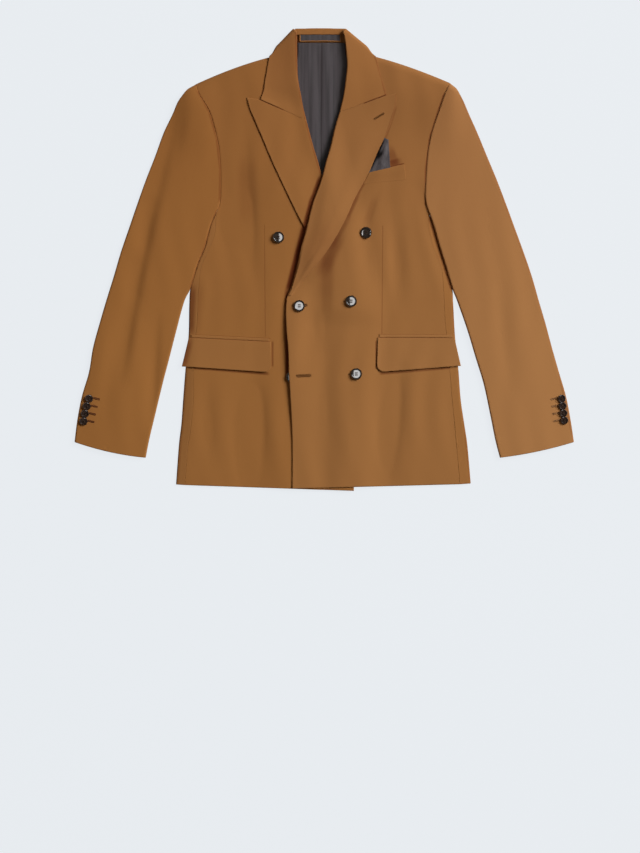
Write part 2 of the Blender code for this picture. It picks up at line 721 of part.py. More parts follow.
def sleeve_wall(top):
    """A sleeve's wall is thinner where it starts at the shoulder."""
    return mix(EDGE_THICKNESS, SLEEVE_WALL, smooth(2.9, 5.0, top))


def make_sleeve(side):
    """Set in one sleeve: the top sleeve rounds both edges, the under sleeve lies flat between."""
    inner_steps = [("tuck", 0.0)] + [("inner", angle) for angle in reversed(ROUND_ANGLES)]
    run_steps = [("run", share) for share in shares(8)[1:-1]]
    outer_steps = [("outer", angle) for angle in ROUND_ANGLES]
    steps = inner_steps + run_steps + outer_steps

    def place(step, along, inside):
        kind, value = step
        width = sleeve_width(side, along)
        wrap = sleeve_rib(side, along)[2]
        radius = mix(1.5, SLEEVE_RADIUS, smooth(2.9, 6.0, sleeve_top(side, along, width / 2)))
        if kind == "run":
            away = mix(radius, width - radius, value)
            top = sleeve_top(side, along, away)
            z = top - inside * max(sleeve_wall(top), top - SLEEVE_HOLLOW_TOP)
            x, y, _ = sleeve_plan(side, along, away)
            return x, y, z
        edge_top = sleeve_top(side, along, radius if kind != "outer" else width - radius)
        wall = sleeve_wall(edge_top) * inside
        half = edge_top / 2
        if kind == "tuck":
            free = (radius + SLEEVE_WRAP, edge_top - wall)
            seam = (wall, radius + 0.8)
        else:
            inward = radius - (radius - wall) * math.cos(value)
            free = (inward, half - (half - wall) * math.sin(value))
            if value >= 0:
                seam = (inward, radius - (radius - wall) * math.sin(value))
            else:
                seam = (wall, radius - 0.6 * value / ROUND_ANGLES[0])
        share = wrap if kind != "outer" else 1.0
        away, drop = mix(seam[0], free[0], share), mix(seam[1], free[1], share)
        if kind == "outer":
            away = width - away
        x, y, _ = sleeve_plan(side, along, away)
        return x, y, edge_top - drop

    rows = [0.0, *SHOULDER_SHARES, *(float(k) for k in range(1, ARMHOLE_ROWS + SLEEVE_ROWS + 1))]
    shell(
        f"sleeve_{side}_top", "wool", steps, rows,
        lambda step, along: place(step, along, 0.0),
        lambda step, along: place(step, along, 1.0),
    )

    def under(depth):
        def point(across, along):
            wrap = sleeve_rib(side, along)[2]
            tuck = (SLEEVE_RADIUS + SLEEVE_WRAP + SEAM_GAP) * wrap + 6 * wrap * (1 - wrap)
            end = sleeve_width(side, along) - SLEEVE_RADIUS - SEAM_GAP
            x, y, _ = sleeve_plan(side, along, mix(tuck, end, across))
            return x, y, BACK_WALL * depth
        return point

    rows = [0.12, *(float(k) for k in range(1, ARMHOLE_ROWS + SLEEVE_ROWS + 1))]
    shell(f"sleeve_{side}_under", "wool", shares(3), rows, under(1.0), under(0.0))


def make_hip_pocket(side):
    """Lay a flap and the jet above it on the front and the side body."""
    top_edge, bottom_edge = FLAP_TOP[side], FLAP_BOTTOM[side]
    columns = [0.0, 0.03, 0.1, 0.22, 0.35, 0.5, 0.65, 0.8, 0.915, 0.95, 0.978, 1.0]

    def seat(x, y):
        edge = read(BODY_EDGE, side, y)
        x = min(x, edge - 3) if side == "left" else max(x, edge + 3)
        return front_top(side, x, y) + REST_GAP

    def flap(depth):
        def place(u, v):
            top = [mix(a, b, u) for a, b in zip(*top_edge)]
            bottom = [mix(a, b, u) for a, b in zip(*bottom_edge)]
            reach = max(FLAP_CORNER - abs(bottom_edge[1][0] - bottom[0]), 0.0)
            bottom[1] += FLAP_CORNER - math.sqrt(FLAP_CORNER ** 2 - reach ** 2)
            x, y = mix(top[0], bottom[0], v), mix(top[1], bottom[1], v)
            return x, y, seat(x, y) + FLAP_WALL * depth
        return place

    shell(f"flap_{side}", "wool", columns, shares(3), flap(1.0), flap(0.0))

    def jet(depth):
        def place(u, v):
            x, y = (mix(a, b, u) for a, b in zip(*top_edge))
            y += mix(JET_DEPTH, SEAM_GAP, v)
            return x, y, seat(x, y) + JET_WALL * depth
        return place

    columns = [mix(0.03, 0.98, share) for share in shares(8)]
    shell(f"pocket_jet_{side}", "wool", columns, shares(1), jet(1.0), jet(0.0))


def make_breast_pocket():
    """Lay the slanted welt on the left front, with the square that stands in it."""
    def on_front(corners, wall):
        def at(depth):
            def place(u, v):
                (x0, y0), (x1, y1), (x2, y2), (x3, y3) = corners
                x = mix(mix(x0, x1, u), mix(x3, x2, u), v)
                y = mix(mix(y0, y1, u), mix(y3, y2, u), v)
                return x, y, front_top("left", x, y) + REST_GAP + wall * depth
            return place
        return at(1.0), at(0.0)

    shell("breast_welt", "wool", shares(5), shares(2), *on_front(WELT, WELT_WALL))
    shell("pocket_square", "lining", shares(3), shares(4), *on_front(SQUARE, SQUARE_WALL))


def turned_button(radius, thickness, sides):
    """Turn a dished button about Z, and return its mesh."""
    profile = bmesh.new()
    points = [
        profile.verts.new((out * radius * MM, 0.0, up * thickness * MM))
        for out, up in zip(BUTTON_PROFILE["out"], BUTTON_PROFILE["up"])
    ]
    for start, end in zip(points, points[1:]):
        profile.edges.new((start, end))
    mesh = bpy.data.meshes.new("button_profile")
    profile.to_mesh(mesh)
    profile.free()
    blank = bpy.data.objects.new("button_blank", mesh)
    garment.objects.link(blank)
    turn = blank.modifiers.new("turn", "SCREW")
    turn.steps = sides
    turn.render_steps = sides
    turn.use_merge_vertices = True
    turn.merge_threshold = 0.00001
    made = welded_mesh(blank, "button")
    bpy.data.objects.remove(blank)
    return made


def cloth_under(height_at, x, y, radius):
    """Highest point of the cloth under a button."""
    angles = [k * math.pi / 4 for k in range(8)]
    rim = [(x + radius * math.cos(angle), y + radius * math.sin(angle)) for angle in angles]
    return max(height_at(*point) for point in [(x, y), *rim])


def make_buttons():
    """Sew on three buttons down each front, and four on each cuff."""
    rows = zip(*FRONT_BUTTONS.values())
    for number, (side, x, y, thickness) in enumerate(rows, start=1):
        piece = add_piece(
            f"front_button_{number}", "button", turned_button(FRONT_BUTTON_RADIUS, thickness, 14),
        )
        z = cloth_under(lambda px, py: front_top(side, px, py), x, y, FRONT_BUTTON_RADIUS * 0.8)
        piece.location = (x * MM, y * MM, (z + REST_GAP) * MM)
    for side in ("left", "right"):
        places = zip(CUFF_BUTTONS[f"{side}_x"], CUFF_BUTTONS[f"{side}_y"])
        for number, (x, y) in enumerate(places, start=1):
            piece = add_piece(
                f"cuff_button_{side}_{number}", "button", turned_button(CUFF_BUTTON_RADIUS - 0.5, 3.0, 10),
            )
            z = cloth_under(lambda px, py: sleeve_height(side, px, py), x, y, CUFF_BUTTON_RADIUS * 0.6)
            piece.location = (x * MM, y * MM, (z + REST_GAP) * MM)


for old in list(bpy.data.objects):
    bpy.data.objects.remove(old)
garment = bpy.data.collections.new("double_breasted_blazer")
bpy.context.scene.collection.children.link(garment)

for wearer_side in ("right", "left"):
    make_back(wearer_side)
    make_side_panel(wearer_side)
    make_front(wearer_side, shares(16))
    make_lapel(wearer_side)
    make_sleeve(wearer_side)
    make_hip_pocket(wearer_side)
make_collar()
make_neck()
make_breast_pocket()
make_buttons()
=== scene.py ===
"""The looks of a double breasted blazer that lies flat on its back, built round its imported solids.

Left and right are the wearer's: the left front lies at +X and closes over the right one. +Y runs from
hem to collar and +Z away from the surface. Sizes and places are in millimetres, and become metres
where a mesh, a light or a camera is made.
"""

import math
from functools import partialmethod

import bmesh
import bpy
import numpy as np
from mathutils import Matrix, Vector


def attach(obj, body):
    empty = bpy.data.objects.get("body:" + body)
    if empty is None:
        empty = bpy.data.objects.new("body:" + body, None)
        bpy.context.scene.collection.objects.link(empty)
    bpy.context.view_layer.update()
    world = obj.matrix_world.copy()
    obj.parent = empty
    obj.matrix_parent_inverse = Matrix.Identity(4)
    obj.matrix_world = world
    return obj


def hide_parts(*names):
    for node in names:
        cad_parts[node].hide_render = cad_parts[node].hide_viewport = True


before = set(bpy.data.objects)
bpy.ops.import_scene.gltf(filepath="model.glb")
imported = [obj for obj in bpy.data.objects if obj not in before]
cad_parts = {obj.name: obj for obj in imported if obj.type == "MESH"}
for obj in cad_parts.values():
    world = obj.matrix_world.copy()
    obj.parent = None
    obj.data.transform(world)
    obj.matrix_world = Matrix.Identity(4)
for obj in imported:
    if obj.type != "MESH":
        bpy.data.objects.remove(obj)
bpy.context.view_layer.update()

# ------------------------------------------------------------------------------------------------
# Studio: a pale table top, a camera straight above it, and a soft box beyond the wearer's left shoulder
# that draws the folds and the edges. A weaker one overhead shows in the polished buttons.
MM = 0.001
VIEW_CENTRE = (-7.3, -287.2)
VIEW_HEIGHT = 1467.2
CAMERA_DISTANCE = 5000.0
CLOTH_TOP = 6.0
FILM = 36.0
TABLE_REACH = 6000.0
TABLE_GAP = 0.2


def add_object(name, data):
    """Put a new object in the scene."""
    made = bpy.data.objects.new(name, data)
    scene.collection.objects.link(made)
    return made


def soft_box(name, place, target, size, power, beam=180.0):
    """Hang a square area light at a place, turned to a target, with its beam narrowed by a grid."""
    lamp = bpy.data.lights.new(name, "AREA")
    lamp.size, lamp.energy, lamp.spread = size, power, math.radians(beam)
    made = add_object(name, lamp)
    made.location = place
    made.rotation_euler = (Vector(target) - Vector(place)).to_track_quat("-Z", "Y").to_euler()


def fill(shader, **values):
    """Set sockets of a shader that are the same all over."""
    for socket, value in values.items():
        shader.inputs[socket.replace("_", " ")].default_value = value


scene = bpy.context.scene
scene.view_settings.view_transform = "Standard"
world = bpy.data.worlds.new("studio_air")
scene.world = world
world.use_nodes = True
fill(world.node_tree.nodes["Background"], Color=(1.0, 0.74, 0.54, 1.0), Strength=0.09)

eye = bpy.data.cameras.new("camera")
eye.lens = FILM * CAMERA_DISTANCE / VIEW_HEIGHT
eye.sensor_width = FILM
eye.clip_start, eye.clip_end = 0.1, 50.0
camera = add_object("camera", eye)
camera.location = (VIEW_CENTRE[0] * MM, VIEW_CENTRE[1] * MM, (CAMERA_DISTANCE + CLOTH_TOP) * MM)
scene.camera = camera
soft_box("key_light", (4.75, 2.75, 4.35), (0.0, -0.1, 0.0), size=3.6, power=166.0, beam=90.0)
soft_box("overhead_light", (-0.007, 0.19, 6.5), (-0.007, -0.08, 0.0), size=1.4, power=20.0)

board = bmesh.new()
bmesh.ops.create_grid(board, x_segments=1, y_segments=1, size=TABLE_REACH * MM)
board_mesh = bpy.data.meshes.new("table_top")
board.to_mesh(board_mesh)
board.free()
table_top = add_object("table_top", board_mesh)
table_top.location = (0.0, 0.0, -TABLE_GAP * MM)
pale = bpy.data.materials.new("pale_table")
pale.use_nodes = True
fill(
    pale.node_tree.nodes["Principled BSDF"], Base_Color=(0.05, 0.05, 0.05, 1.0), Roughness=0.9,
    Specular_IOR_Level=0.0, Emission_Color=(0.80, 0.835, 0.87, 1.0), Emission_Strength=0.96,
)
board_mesh.materials.append(pale)

# ------------------------------------------------------------------------------------------------
# Back: two panels of fine wool twill, joined down the centre, that lie on the table. The shoulder
# and the neck lie over the collar's fall. Here are also the armhole and the hem, which all panels share.
BACK_WALL = 1.6
SEAM_GAP = 0.3
COLLAR_WALL = 1.8
CENTRE_X = -4.5
UNDERARM = 85.0
LOWEST = -392.0
BACK_NECK = 361.0
BACK_BOW = 10.0
BACK_HEM_RISE = 1.5
ARMHOLE_LENGTH = 219.0
WAIST_SEAM = 42.0


def table(columns, *rows):
    """Turn rows with named columns into one array for each column."""
    return {name: np.array([row[k] for row in rows], float) for k, name in enumerate(columns.split())}


ARMHOLE = table(
    "height right left",
    (304, -221, 216), (285, -215, 207), (255, -197.5, 196.5), (231, -190, 188), (209, -184, 182),
    (185, -180, 177.5), (154, -178, 175), (111, -178, 173), (94, -180, 175), (85, -184, 178),
)
BACK_SEAM = table(
    "height right left",
    (82, -178.5, 172.5), (60, -166, 160), (22, -156, 150), (-10, -157, 151), (-50, -161, 155),
    (-130, -168, 162), (-242, -178, 172), (-390, -190, 186),
)
# The hem's height, the place where it hangs lowest, and its curve
HEM = {"right": (-398.0, 40.0, 0.000127), "left": (-394.5, 0.0, 0.000145)}
OUTWARD = {"right": -1.0, "left": 1.0}


def mix(a, b, share):
    """Go from a to b."""
    return a + (b - a) * share


def smooth(start, end, value):
    """Ease from 0 at start to 1 at end."""
    share = np.clip((value - start) / (end - start), 0.0, 1.0)
    return share * share * (3 - 2 * share)


def through(knots, values, at):
    """Read a smooth curve that passes through each value at its knot."""
    if knots[0] > knots[-1]:
        knots, values = knots[::-1], values[::-1]
    at = np.clip(at, knots[0], knots[-1])
    k = np.clip(np.searchsorted(knots, at, side="right") - 1, 0, len(knots) - 2)
    padded_knots, padded = np.pad(knots, 1, mode="edge"), np.pad(values, 1, mode="edge")
    slopes = (padded[2:] - padded[:-2]) / (padded_knots[2:] - padded_knots[:-2])
    span = knots[k + 1] - knots[k]
    t = (at - knots[k]) / span
    bend = (2 * t - 3) * t * t
    return (
        values[k] * (1 + bend) - values[k + 1] * bend
        + span * (slopes[k] * t * (1 - t) ** 2 - slopes[k + 1] * (1 - t) * t * t)
    )


def read(rows, side, height):
    """Read a table's column for one side at a height along the garment."""
    return through(rows["height"], rows[side], height)


def armhole_point(side, share):
    """A point of the armhole seam, from the shoulder at 0 to the underarm at 1."""
    top_height = ARMHOLE["height"][0] - (2 if side == "right" else 0)
    height = mix(top_height, UNDERARM, share)
    return read(ARMHOLE, side, height), height


def seam_x(rows, side, level):
    """Place of a side seam: straight from the underarm to the waist part, then as its table."""
    share = np.maximum((level - WAIST_SEAM) / (UNDERARM - WAIST_SEAM), 0.0)
    start_x, _ = armhole_point(side, 1.0)
    return mix(read(rows, side, np.minimum(level, WAIST_SEAM)), start_x, share)


def level_height(side, nominal, x):
    """Height of a body level at x: level at the armhole, following the hem at the hem."""
    level, middle, curve = HEM[side]
    sink = (82.0 - nominal) / (82.0 - LOWEST)
    return nominal + (level + curve * (x - middle) ** 2 - LOWEST) * smooth(0.6, 1.0, sink)


def neck_rise(x, y):
    """Lift of what lies over the collar's fall at the back of the neck."""
    return (COLLAR_WALL + SEAM_GAP) * smooth(240, 349, y) * (1 - smooth(110, 210, np.abs(x)))


# How far the close rows of points at a rim lie from it
RIM = np.array([0.0, 0.25, 0.7, 1.5, 3.0])


def spread(count, length, low_rim=RIM, high_rim=RIM):
    """Shares of a length for a row of points: close together at both rims, and even between."""
    low, high = low_rim / length, 1 - high_rim[::-1] / length
    return np.concatenate([low, np.linspace(low[-1], high[0], count)[1:-1], high])


def closed_wall(name, outer, inner, rounding=1.3, **sides):
    """Make the mesh of a wall between an outer and an inner grid of points, with a rounded rim.

    A side of the grid may have a rounding of its own: head, foot, start or end.
    """
    rows, columns = outer.shape[:2]

    def run(axis):
        steps = np.linalg.norm(np.diff(outer, axis=axis), axis=2)
        start = np.zeros((rows, 1)) if axis == 1 else np.zeros((1, columns))
        return np.concatenate([start, np.cumsum(steps, axis=axis)], axis=axis)

    over, down = run(1), run(0)
    away = {"head": down, "foot": down[-1:] - down, "start": over, "end": over[:, -1:] - over}
    nearest = np.minimum.reduce([away[side] / sides.get(side, rounding) for side in away])
    fullness = np.sqrt(1 - (1 - np.minimum(nearest, 1.0)) ** 2)
    half = (outer - inner) / 2 * mix(0.25, 1.0, fullness)[..., None]
    middle = (outer + inner) / 2
    points = np.concatenate([(middle + half).reshape(-1, 3), (middle - half).reshape(-1, 3)]) * MM
    index = np.arange(rows * columns).reshape(rows, columns)
    corners = [index[:-1, :-1], index[:-1, 1:], index[1:, 1:], index[1:, :-1]]
    quads = np.stack(corners, axis=2).reshape(-1, 4)
    ring = np.concatenate([index[0, :], index[1:, -1], index[-1, -2::-1], index[-2:0:-1, 0]])
    after = np.roll(ring, -1)
    below = rows * columns
    rim = np.stack([ring + below, after + below, after, ring], axis=1)
    faces = np.concatenate([quads, quads[:, ::-1] + below, rim[:, ::-1]])
    mesh = bpy.data.meshes.new(name)
    mesh.from_pydata(points.tolist(), [], faces.tolist())
    tidy = bmesh.new()
    tidy.from_mesh(mesh)
    bmesh.ops.recalc_face_normals(tidy, faces=tidy.faces[:])
    tidy.to_mesh(mesh)
    tidy.free()
    mesh.shade_smooth()
    return mesh


def grid(x, y, z):
    """Grid of points from their coordinates."""
    return np.stack(np.broadcast_arrays(x, y, z), axis=2)


def laid_wall(x, y, height, wall):
    """Outer and inner points of a cloth of a given thickness, laid with its underside at a height."""
    return grid(x, y, height + wall), grid(x, y, height)


def sew_in(name, mesh, finish, slot, *nodes):
    """Put a finished piece in the scene, in place of its solid where it has one."""
    piece = add_object(name, mesh)
    mesh.materials.clear()
    mesh.materials.append(finish)
    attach(piece, "root")
    if nodes:
        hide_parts(*nodes)
    return piece


def lay_cloth(node, points, finish, flat, held, rests_on, area=None, slot="wool", **rims):
    piece = sew_in(node + "_cloth", closed_wall(node, *points, **rims), finish, slot, node)


class Shade:
    """A value that changes over a surface. Sums on it add Math nodes to its material."""

    def __init__(self, finish, socket):
        self.finish, self.socket = finish, socket

    def work(self, operation, *others):
        """Work out a sum of this value and others."""
        values = [value.socket if isinstance(value, Shade) else value for value in (self, *others)]
        return self.finish.node("ShaderNodeMath", {"operation": operation}, dict(enumerate(values)))

    __add__ = __radd__ = partialmethod(work, "ADD")
    __sub__ = partialmethod(work, "SUBTRACT")
    __mul__ = __rmul__ = partialmethod(work, "MULTIPLY")
    __truediv__ = partialmethod(work, "DIVIDE")
    __abs__ = partialmethod(work, "ABSOLUTE")

    def __rsub__(self, other):
        return (self * -1.0) + other

    def ease(self, start, end):
        """1 where the value is past end, 0 before start."""
        sockets = {"Value": self.socket, "From Min": start, "From Max": end}
        return self.finish.node("ShaderNodeMapRange", {"interpolation_type": "SMOOTHSTEP"}, sockets)


class Finish:
    """A material in the making."""

    def __init__(self, name, **plain):
        self.material = bpy.data.materials.new(name)
        self.material.use_nodes = True
        self.tree = self.material.node_tree
        self.shader = self.tree.nodes["Principled BSDF"]
        fill(self.shader, **plain)

    def node(self, kind, settings, sockets, output=0):
        """Add a node with its settings, feed its sockets, and return one of its outputs."""
        made = self.tree.nodes.new(kind)
        for setting, value in settings.items():
            setattr(made, setting, value)
        for socket, value in sockets.items():
            self.feed(made.inputs[socket], value)
        return Shade(self, made.outputs[output])

    def feed(self, socket, value):
        """Link a value to a socket, or set it there."""
        value = value.socket if isinstance(value, Shade) else value
        if isinstance(value, bpy.types.NodeSocket):
            self.tree.links.new(value, socket)
        else:
            socket.default_value = value

    def place(self, turn=0.0):
        """Place on the piece, turned about Z."""
        spot = self.node("ShaderNodeTexCoord", {}, {}, "Object")
        return self.node("ShaderNodeMapping", {}, {"Vector": spot, "Rotation": (0.0, 0.0, turn)})

    def distance(self, axis):
        """Distance in metres along one axis of the garment."""
        return self.node("ShaderNodeSeparateXYZ", {}, {"Vector": self.place()}, axis)

    def noise(self, spot, scale, detail):
        """Grain from 0 to 1, drawn out into streaks where scale has a number for each axis."""
        if isinstance(scale, tuple):
            spot, scale = self.node("ShaderNodeMapping", {}, {"Vector": spot, "Scale": scale}), 1.0
        return self.node("ShaderNodeTexNoise", {}, {"Vector": spot, "Scale": scale, "Detail": detail}, "Fac")

    def twill(self, spot, sizes):
        """Slanting lines of a weave or a twist, from 0 to 1."""
        settings = {"wave_type": "BANDS", "bands_direction": "DIAGONAL"}
        return self.node("ShaderNodeTexWave", settings, {"Vector": spot, **sizes}, "Fac")

    def line_mark(self, x0, y0, x1, y1, width):
        """1 on a line between two places in millimetres, easing to 0 at its width and its ends."""
        length = math.hypot(x1 - x0, y1 - y0)
        dx, dy = (x1 - x0) / length, (y1 - y0) / length
        x, y = self.distance("X") / MM - x0, self.distance("Y") / MM - y0
        along, off = x * dx + y * dy, abs(x * -dy + y * dx)
        reach = max(2.0, width)
        ends = along.ease(-reach, reach) * (1.0 - along.ease(length - reach, length + reach))
        return (1.0 - off.ease(width * 0.3, width)) * ends

    def colour(self, light, dark, full):
        """Colour the surface from dark to full, by a share that changes over it."""
        sockets = {"Factor": light, 6: (*dark, 1.0), 7: (*full, 1.0)}
        shade = self.node("ShaderNodeMix", {"data_type": "RGBA"}, sockets, 2)
        self.feed(self.shader.inputs["Base Color"], shade)

    def relief(self, height, strength, distance):
        """Raise the surface by a height that changes over it."""
        sockets = {"Strength": strength, "Distance": distance, "Height": height}
        self.feed(self.shader.inputs["Normal"], self.node("ShaderNodeBump", {}, sockets))


WOOL = (0.3718, 0.1617, 0.04642)
WOOL_IN_SHADE = (0.26, 0.03, 0.0)


def wool(name, tone, lines=(), warmth=0.0, grain=0.0):
    """Fine wool twill: steep twill lines, fibres and a soft cloudy tone that lightens to the hem.

    Lines are pressed seams and painted shade, of folds and beside and under edges; all are darker and
    redder. Each has its start and end, its width and its depth. A grain turns the weave, and warmth takes
    blue away. The lightening to the hem is painted light. Tone and warmth differ between pieces partly as
    painted light and shade: pieces on the wearer's right, away from the key light, are mostly darker and
    less blue.
    """
    made = Finish(name, Roughness=0.9, Sheen_Weight=0.04, Sheen_Roughness=0.5, Specular_IOR_Level=0.12)
    fill(made.shader, Sheen_Tint=(1.0, 0.86, 0.70, 1.0))
    spot = made.place(-grain)
    twill = made.twill(spot, {"Scale": 260.0, "Distortion": 1.2, "Detail": 1.0, "Detail Scale": 3.0})
    fibres, cloud = made.noise(spot, 900.0, 3.0), made.noise(spot, 9.0, 4.0)
    slub = made.noise(spot, (420.0, 28.0, 28.0), 2.0)
    light = 0.885 + twill * 0.05 + fibres * 0.08 + cloud * 0.09 + slub * 0.05
    height = twill * 0.6 + fibres * 0.5
    # Painted light: the cloth lightens towards the hem
    light = light * (0.92 - made.distance("Y") * 0.30)
    for *line, depth in lines:
        mark = made.line_mark(*line)
        light = light * (1.0 - mark * depth)
        height = height - mark * 2.0
    red, green, blue = WOOL
    base = (red * tone, green * tone * (1 - 0.05 * warmth), blue * tone * (1 - 0.20 * warmth))
    made.colour(light, [part * left for part, left in zip(base, WOOL_IN_SHADE)], base)
    made.relief(height, 0.35, 0.00012)
    return made.material


def rib_starts(side, seam, gap, armhole, count):
    """Where the ribs of a body panel start: down its armhole, and then down its side seam to the hem.

    Returns their shares of the armhole, their levels along the body, and their places.
    """
    out = OUTWARD[side]
    levels = np.linspace(UNDERARM, LOWEST, count)[1:]
    levels = np.concatenate([levels[:-1], LOWEST + RIM[:0:-1], [LOWEST]])
    down = np.concatenate([armhole, np.ones(len(levels))])[:, None]
    level = np.concatenate([np.full(len(armhole), UNDERARM), levels])[:, None]
    x, y = armhole_point(side, down)
    body = level < UNDERARM
    x = np.where(body, seam_x(seam, side, level) - out * gap / 2, x + out * SEAM_GAP)
    return down, level, x, np.where(body, level_height(side, level, x), y)


def ribs(start_x, start_y, end_x, end_y, across, down, bow):
    """Places along ribs from their starts to their ends. The first ones bow with the shoulder seam."""
    bend = 4 * bow * (1 - smooth(0, 0.3, down)) * across * (1 - across)
    return mix(start_x, end_x, across), mix(start_y, end_y, across) + bend


def back_points(side):
    """Points of a back panel: ribs run from its armhole and side seam to the centre seam."""
    armhole = spread(26, ARMHOLE_LENGTH, high_rim=RIM[:1])
    down, level, start_x, start_y = rib_starts(side, BACK_SEAM, SEAM_GAP, armhole, 60)
    centre = CENTRE_X + OUTWARD[side] * SEAM_GAP / 2
    end_y = np.where(level < UNDERARM, level_height(side, level, centre), mix(BACK_NECK, UNDERARM, down))
    hem = BACK_HEM_RISE * smooth(-300, LOWEST, level)
    x, y = ribs(start_x, start_y + hem, centre, end_y + hem, spread(18, 190.0), down, BACK_BOW)
    return laid_wall(x, y, neck_rise(x, y), BACK_WALL)


for wearer_side in ("right", "left"):
    lay_cloth(
        f"back_{wearer_side}", back_points(wearer_side), wool(f"wool_back_{wearer_side}", 0.95),
        flat=(0.25, 0.77), held="laid", rests_on=["table_top"], area=0.145,
    )

# ------------------------------------------------------------------------------------------------
# Neck: what shows inside the back of the neck. The collar's stand is of the wool, and under it a bare
# band of lining cloth is framed with a narrow wool piping. The back's lining has a pleat down its
# middle that gives ease across the shoulders.
REST_GAP = 0.45
LINING_WALL = 0.8
LINING_GAP = 0.06
LINING_TOP = 373.0
LINING_FOOT = 128.0
ROLL = table(
    "height right left",
    (392, -47, 31), (384, -47, 34), (360, -46.5, 37), (335, -46, 39), (312, -45, 37), (283, -40, 33),
    (257, -35, 27), (226, -27, 18), (192, -18, 10), (168, -10.5, 3), (140, -3, -4), (120, 2.5, -11),
    (102, 7, -18), (77, 14, -25), (51, 20, -31), (20, 28, -40), (-4, 34, -45), (-30, 40, -52),
    (-52, 46, -59), (-64, 48.5, -64), (-72, 50, -65), (-87, 51, -66), (-121, 51, -65), (-156, 51, -62),
    (-190, 51, -61), (-224, 51, -59), (-259, 51, -57), (-310, 51, -55), (-400, 51, -55),
)
PLEAT_START = CENTRE_X - 0.6
PLEAT_FOLD = CENTRE_X + 6.6
PLEAT_RISE = 0.3
# The lining is in deep shade beside the left lapel's roll, and at the foot of the neck's opening
LINING_SHADE = [
    (34, 330, 31, 272, 6, 0.4), (31, 272, 17, 222, 9, 0.62), (17, 222, 3, 168, 11, 0.8),
    (1, 176, -6, 146, 14, 0.88),
]


def down_rows(top, foot, count):
    """Heights from the top of a piece to its foot, with close rows at both rims."""
    even = np.linspace(top - RIM[-1], foot + RIM[-1], count)
    return np.concatenate([top - RIM[:-1], even, foot + RIM[-2::-1]])[:, None]


def lining_points():
    """Points of the lining between the two roll lines, stepped at the pleat's folded edge."""
    y = down_rows(LINING_TOP, LINING_FOOT, 70)
    tuck = 8.0 * (1 - smooth(325, 355, y))
    left_end, right_end = read(ROLL, "right", y) - tuck, read(ROLL, "left", y) + tuck
    share = np.linspace(0, 1, 22)
    over = PLEAT_START + np.array([0.15, 0.4, 1.2, 2.6, 4.2, 5.6]) + 0 * y
    x = [mix(left_end, PLEAT_START, share ** 0.9), over, mix(PLEAT_FOLD, right_end, share)]
    x = np.concatenate(x, axis=1)
    step = smooth(PLEAT_START - 0.1, PLEAT_START + 1.1, x)
    pleat = PLEAT_RISE * step * (1 - 0.9 * smooth(PLEAT_START + 1.5, PLEAT_FOLD + 14, x))
    ease = 0.32 * np.sin(x / 5.1 + 0.9 * np.sin(y / 47.0)) * np.exp(-(((x - CENTRE_X) / 26.0) ** 2))
    ease = (ease + 0.32) * smooth(373, 345, y)
    low = BACK_WALL + SEAM_GAP + neck_rise(x, y) + LINING_GAP
    return laid_wall(x, y, low, LINING_WALL + pleat + ease)


def lining_cloth(name, base, threads, sheen, painted_shade):
    """Smooth lining twill with a soft sheen, faint streaks along its threads and lines of painted shade."""
    made = Finish(
        name, Roughness=0.5, Sheen_Weight=sheen, Sheen_Roughness=0.3, Specular_IOR_Level=sheen * 1.3,
    )
    spot = made.place()
    streaks = made.noise(spot, threads, 4.0)
    weave = made.twill(spot, {"Scale": 420.0, "Distortion": 0.6})
    light = 0.50 + streaks.ease(0.25, 0.75) * 0.62 + weave * 0.05
    for *line, depth in painted_shade:
        light = light * (1.0 - made.line_mark(*line) * depth)
    made.colour(light, (0.0, 0.0, 0.0), base)
    made.feed(made.shader.inputs["Roughness"], 0.42 + streaks * 0.2)
    made.relief(weave + streaks * 2.0, 0.25, 0.0002)
    return made.material


body_lining = lining_cloth("lining_twill", (0.0535, 0.0437, 0.049), (170.0, 6.0, 6.0), 0.35, LINING_SHADE)
lay_cloth(
    "back_lining", lining_points(), body_lining, slot="lining", rounding=0.5,
    flat=(0.13, 0.25), held="laid", rests_on=["back_left_cloth", "back_right_cloth"], area=0.0185,
)


def strip(x_ends, y_ends, low, wall, bow):
    """Points of a narrow strip across the neck, of even thickness."""
    width = x_ends[1] - x_ends[0]
    x = mix(*x_ends, spread(14, width, RIM[:4], RIM[:4]))
    y = mix(*y_ends, spread(6, abs(y_ends[1] - y_ends[0]), RIM[:4] * 0.6, RIM[:4] * 0.6))[:, None]
    arch = bow * (1 - ((x - sum(x_ends) / 2) / width * 2) ** 2)
    return laid_wall(x, y + arch, low, wall)


stand = strip((-50.0, 36.0), (397.3, 386.6), low=3.4, wall=2.6, bow=0.3)
lay_cloth(
    "collar_stand", stand, wool("wool_stand", 0.95), rounding=1.2,
    flat=(0.086, 0.0107), held="laid", rests_on=["collar_cloth"],
)
band = strip((-41.5, 27.7), (386.8, 375.6), low=4.0, wall=1.0, bow=0.4)
lay_cloth(
    "neck_band", band, body_lining, slot="lining", rounding=0.5,
    flat=(0.0692, 0.0112), held="laid", rests_on=["collar_cloth"],
)


def piping_line():
    """The piping's way round the bare band: along its foot, and up both of its ends."""
    start, end, foot, top = -41.6, 27.8, 375.2, 386.8
    rise = np.linspace(top, foot, 8)[:-1]
    along_foot = [(x, 375.4 + 0.5 * (1 - (x + 7) ** 2 / 1200)) for x in np.linspace(start, end, 24)]
    places = [*((start - 0.2, y) for y in rise), *along_foot, *((end + 0.2, y) for y in rise[::-1])]
    return [(x, y, 5.0) for x, y in places]


def settled(thing, *helpers):
    """The plain mesh of an object with its bevel or modifiers worked out. Both and helpers are removed."""
    bpy.context.view_layer.update()
    mesh = bpy.data.meshes.new_from_object(thing.evaluated_get(bpy.context.evaluated_depsgraph_get()))
    for done in (thing, *helpers):
        bpy.data.objects.remove(done)
    return mesh


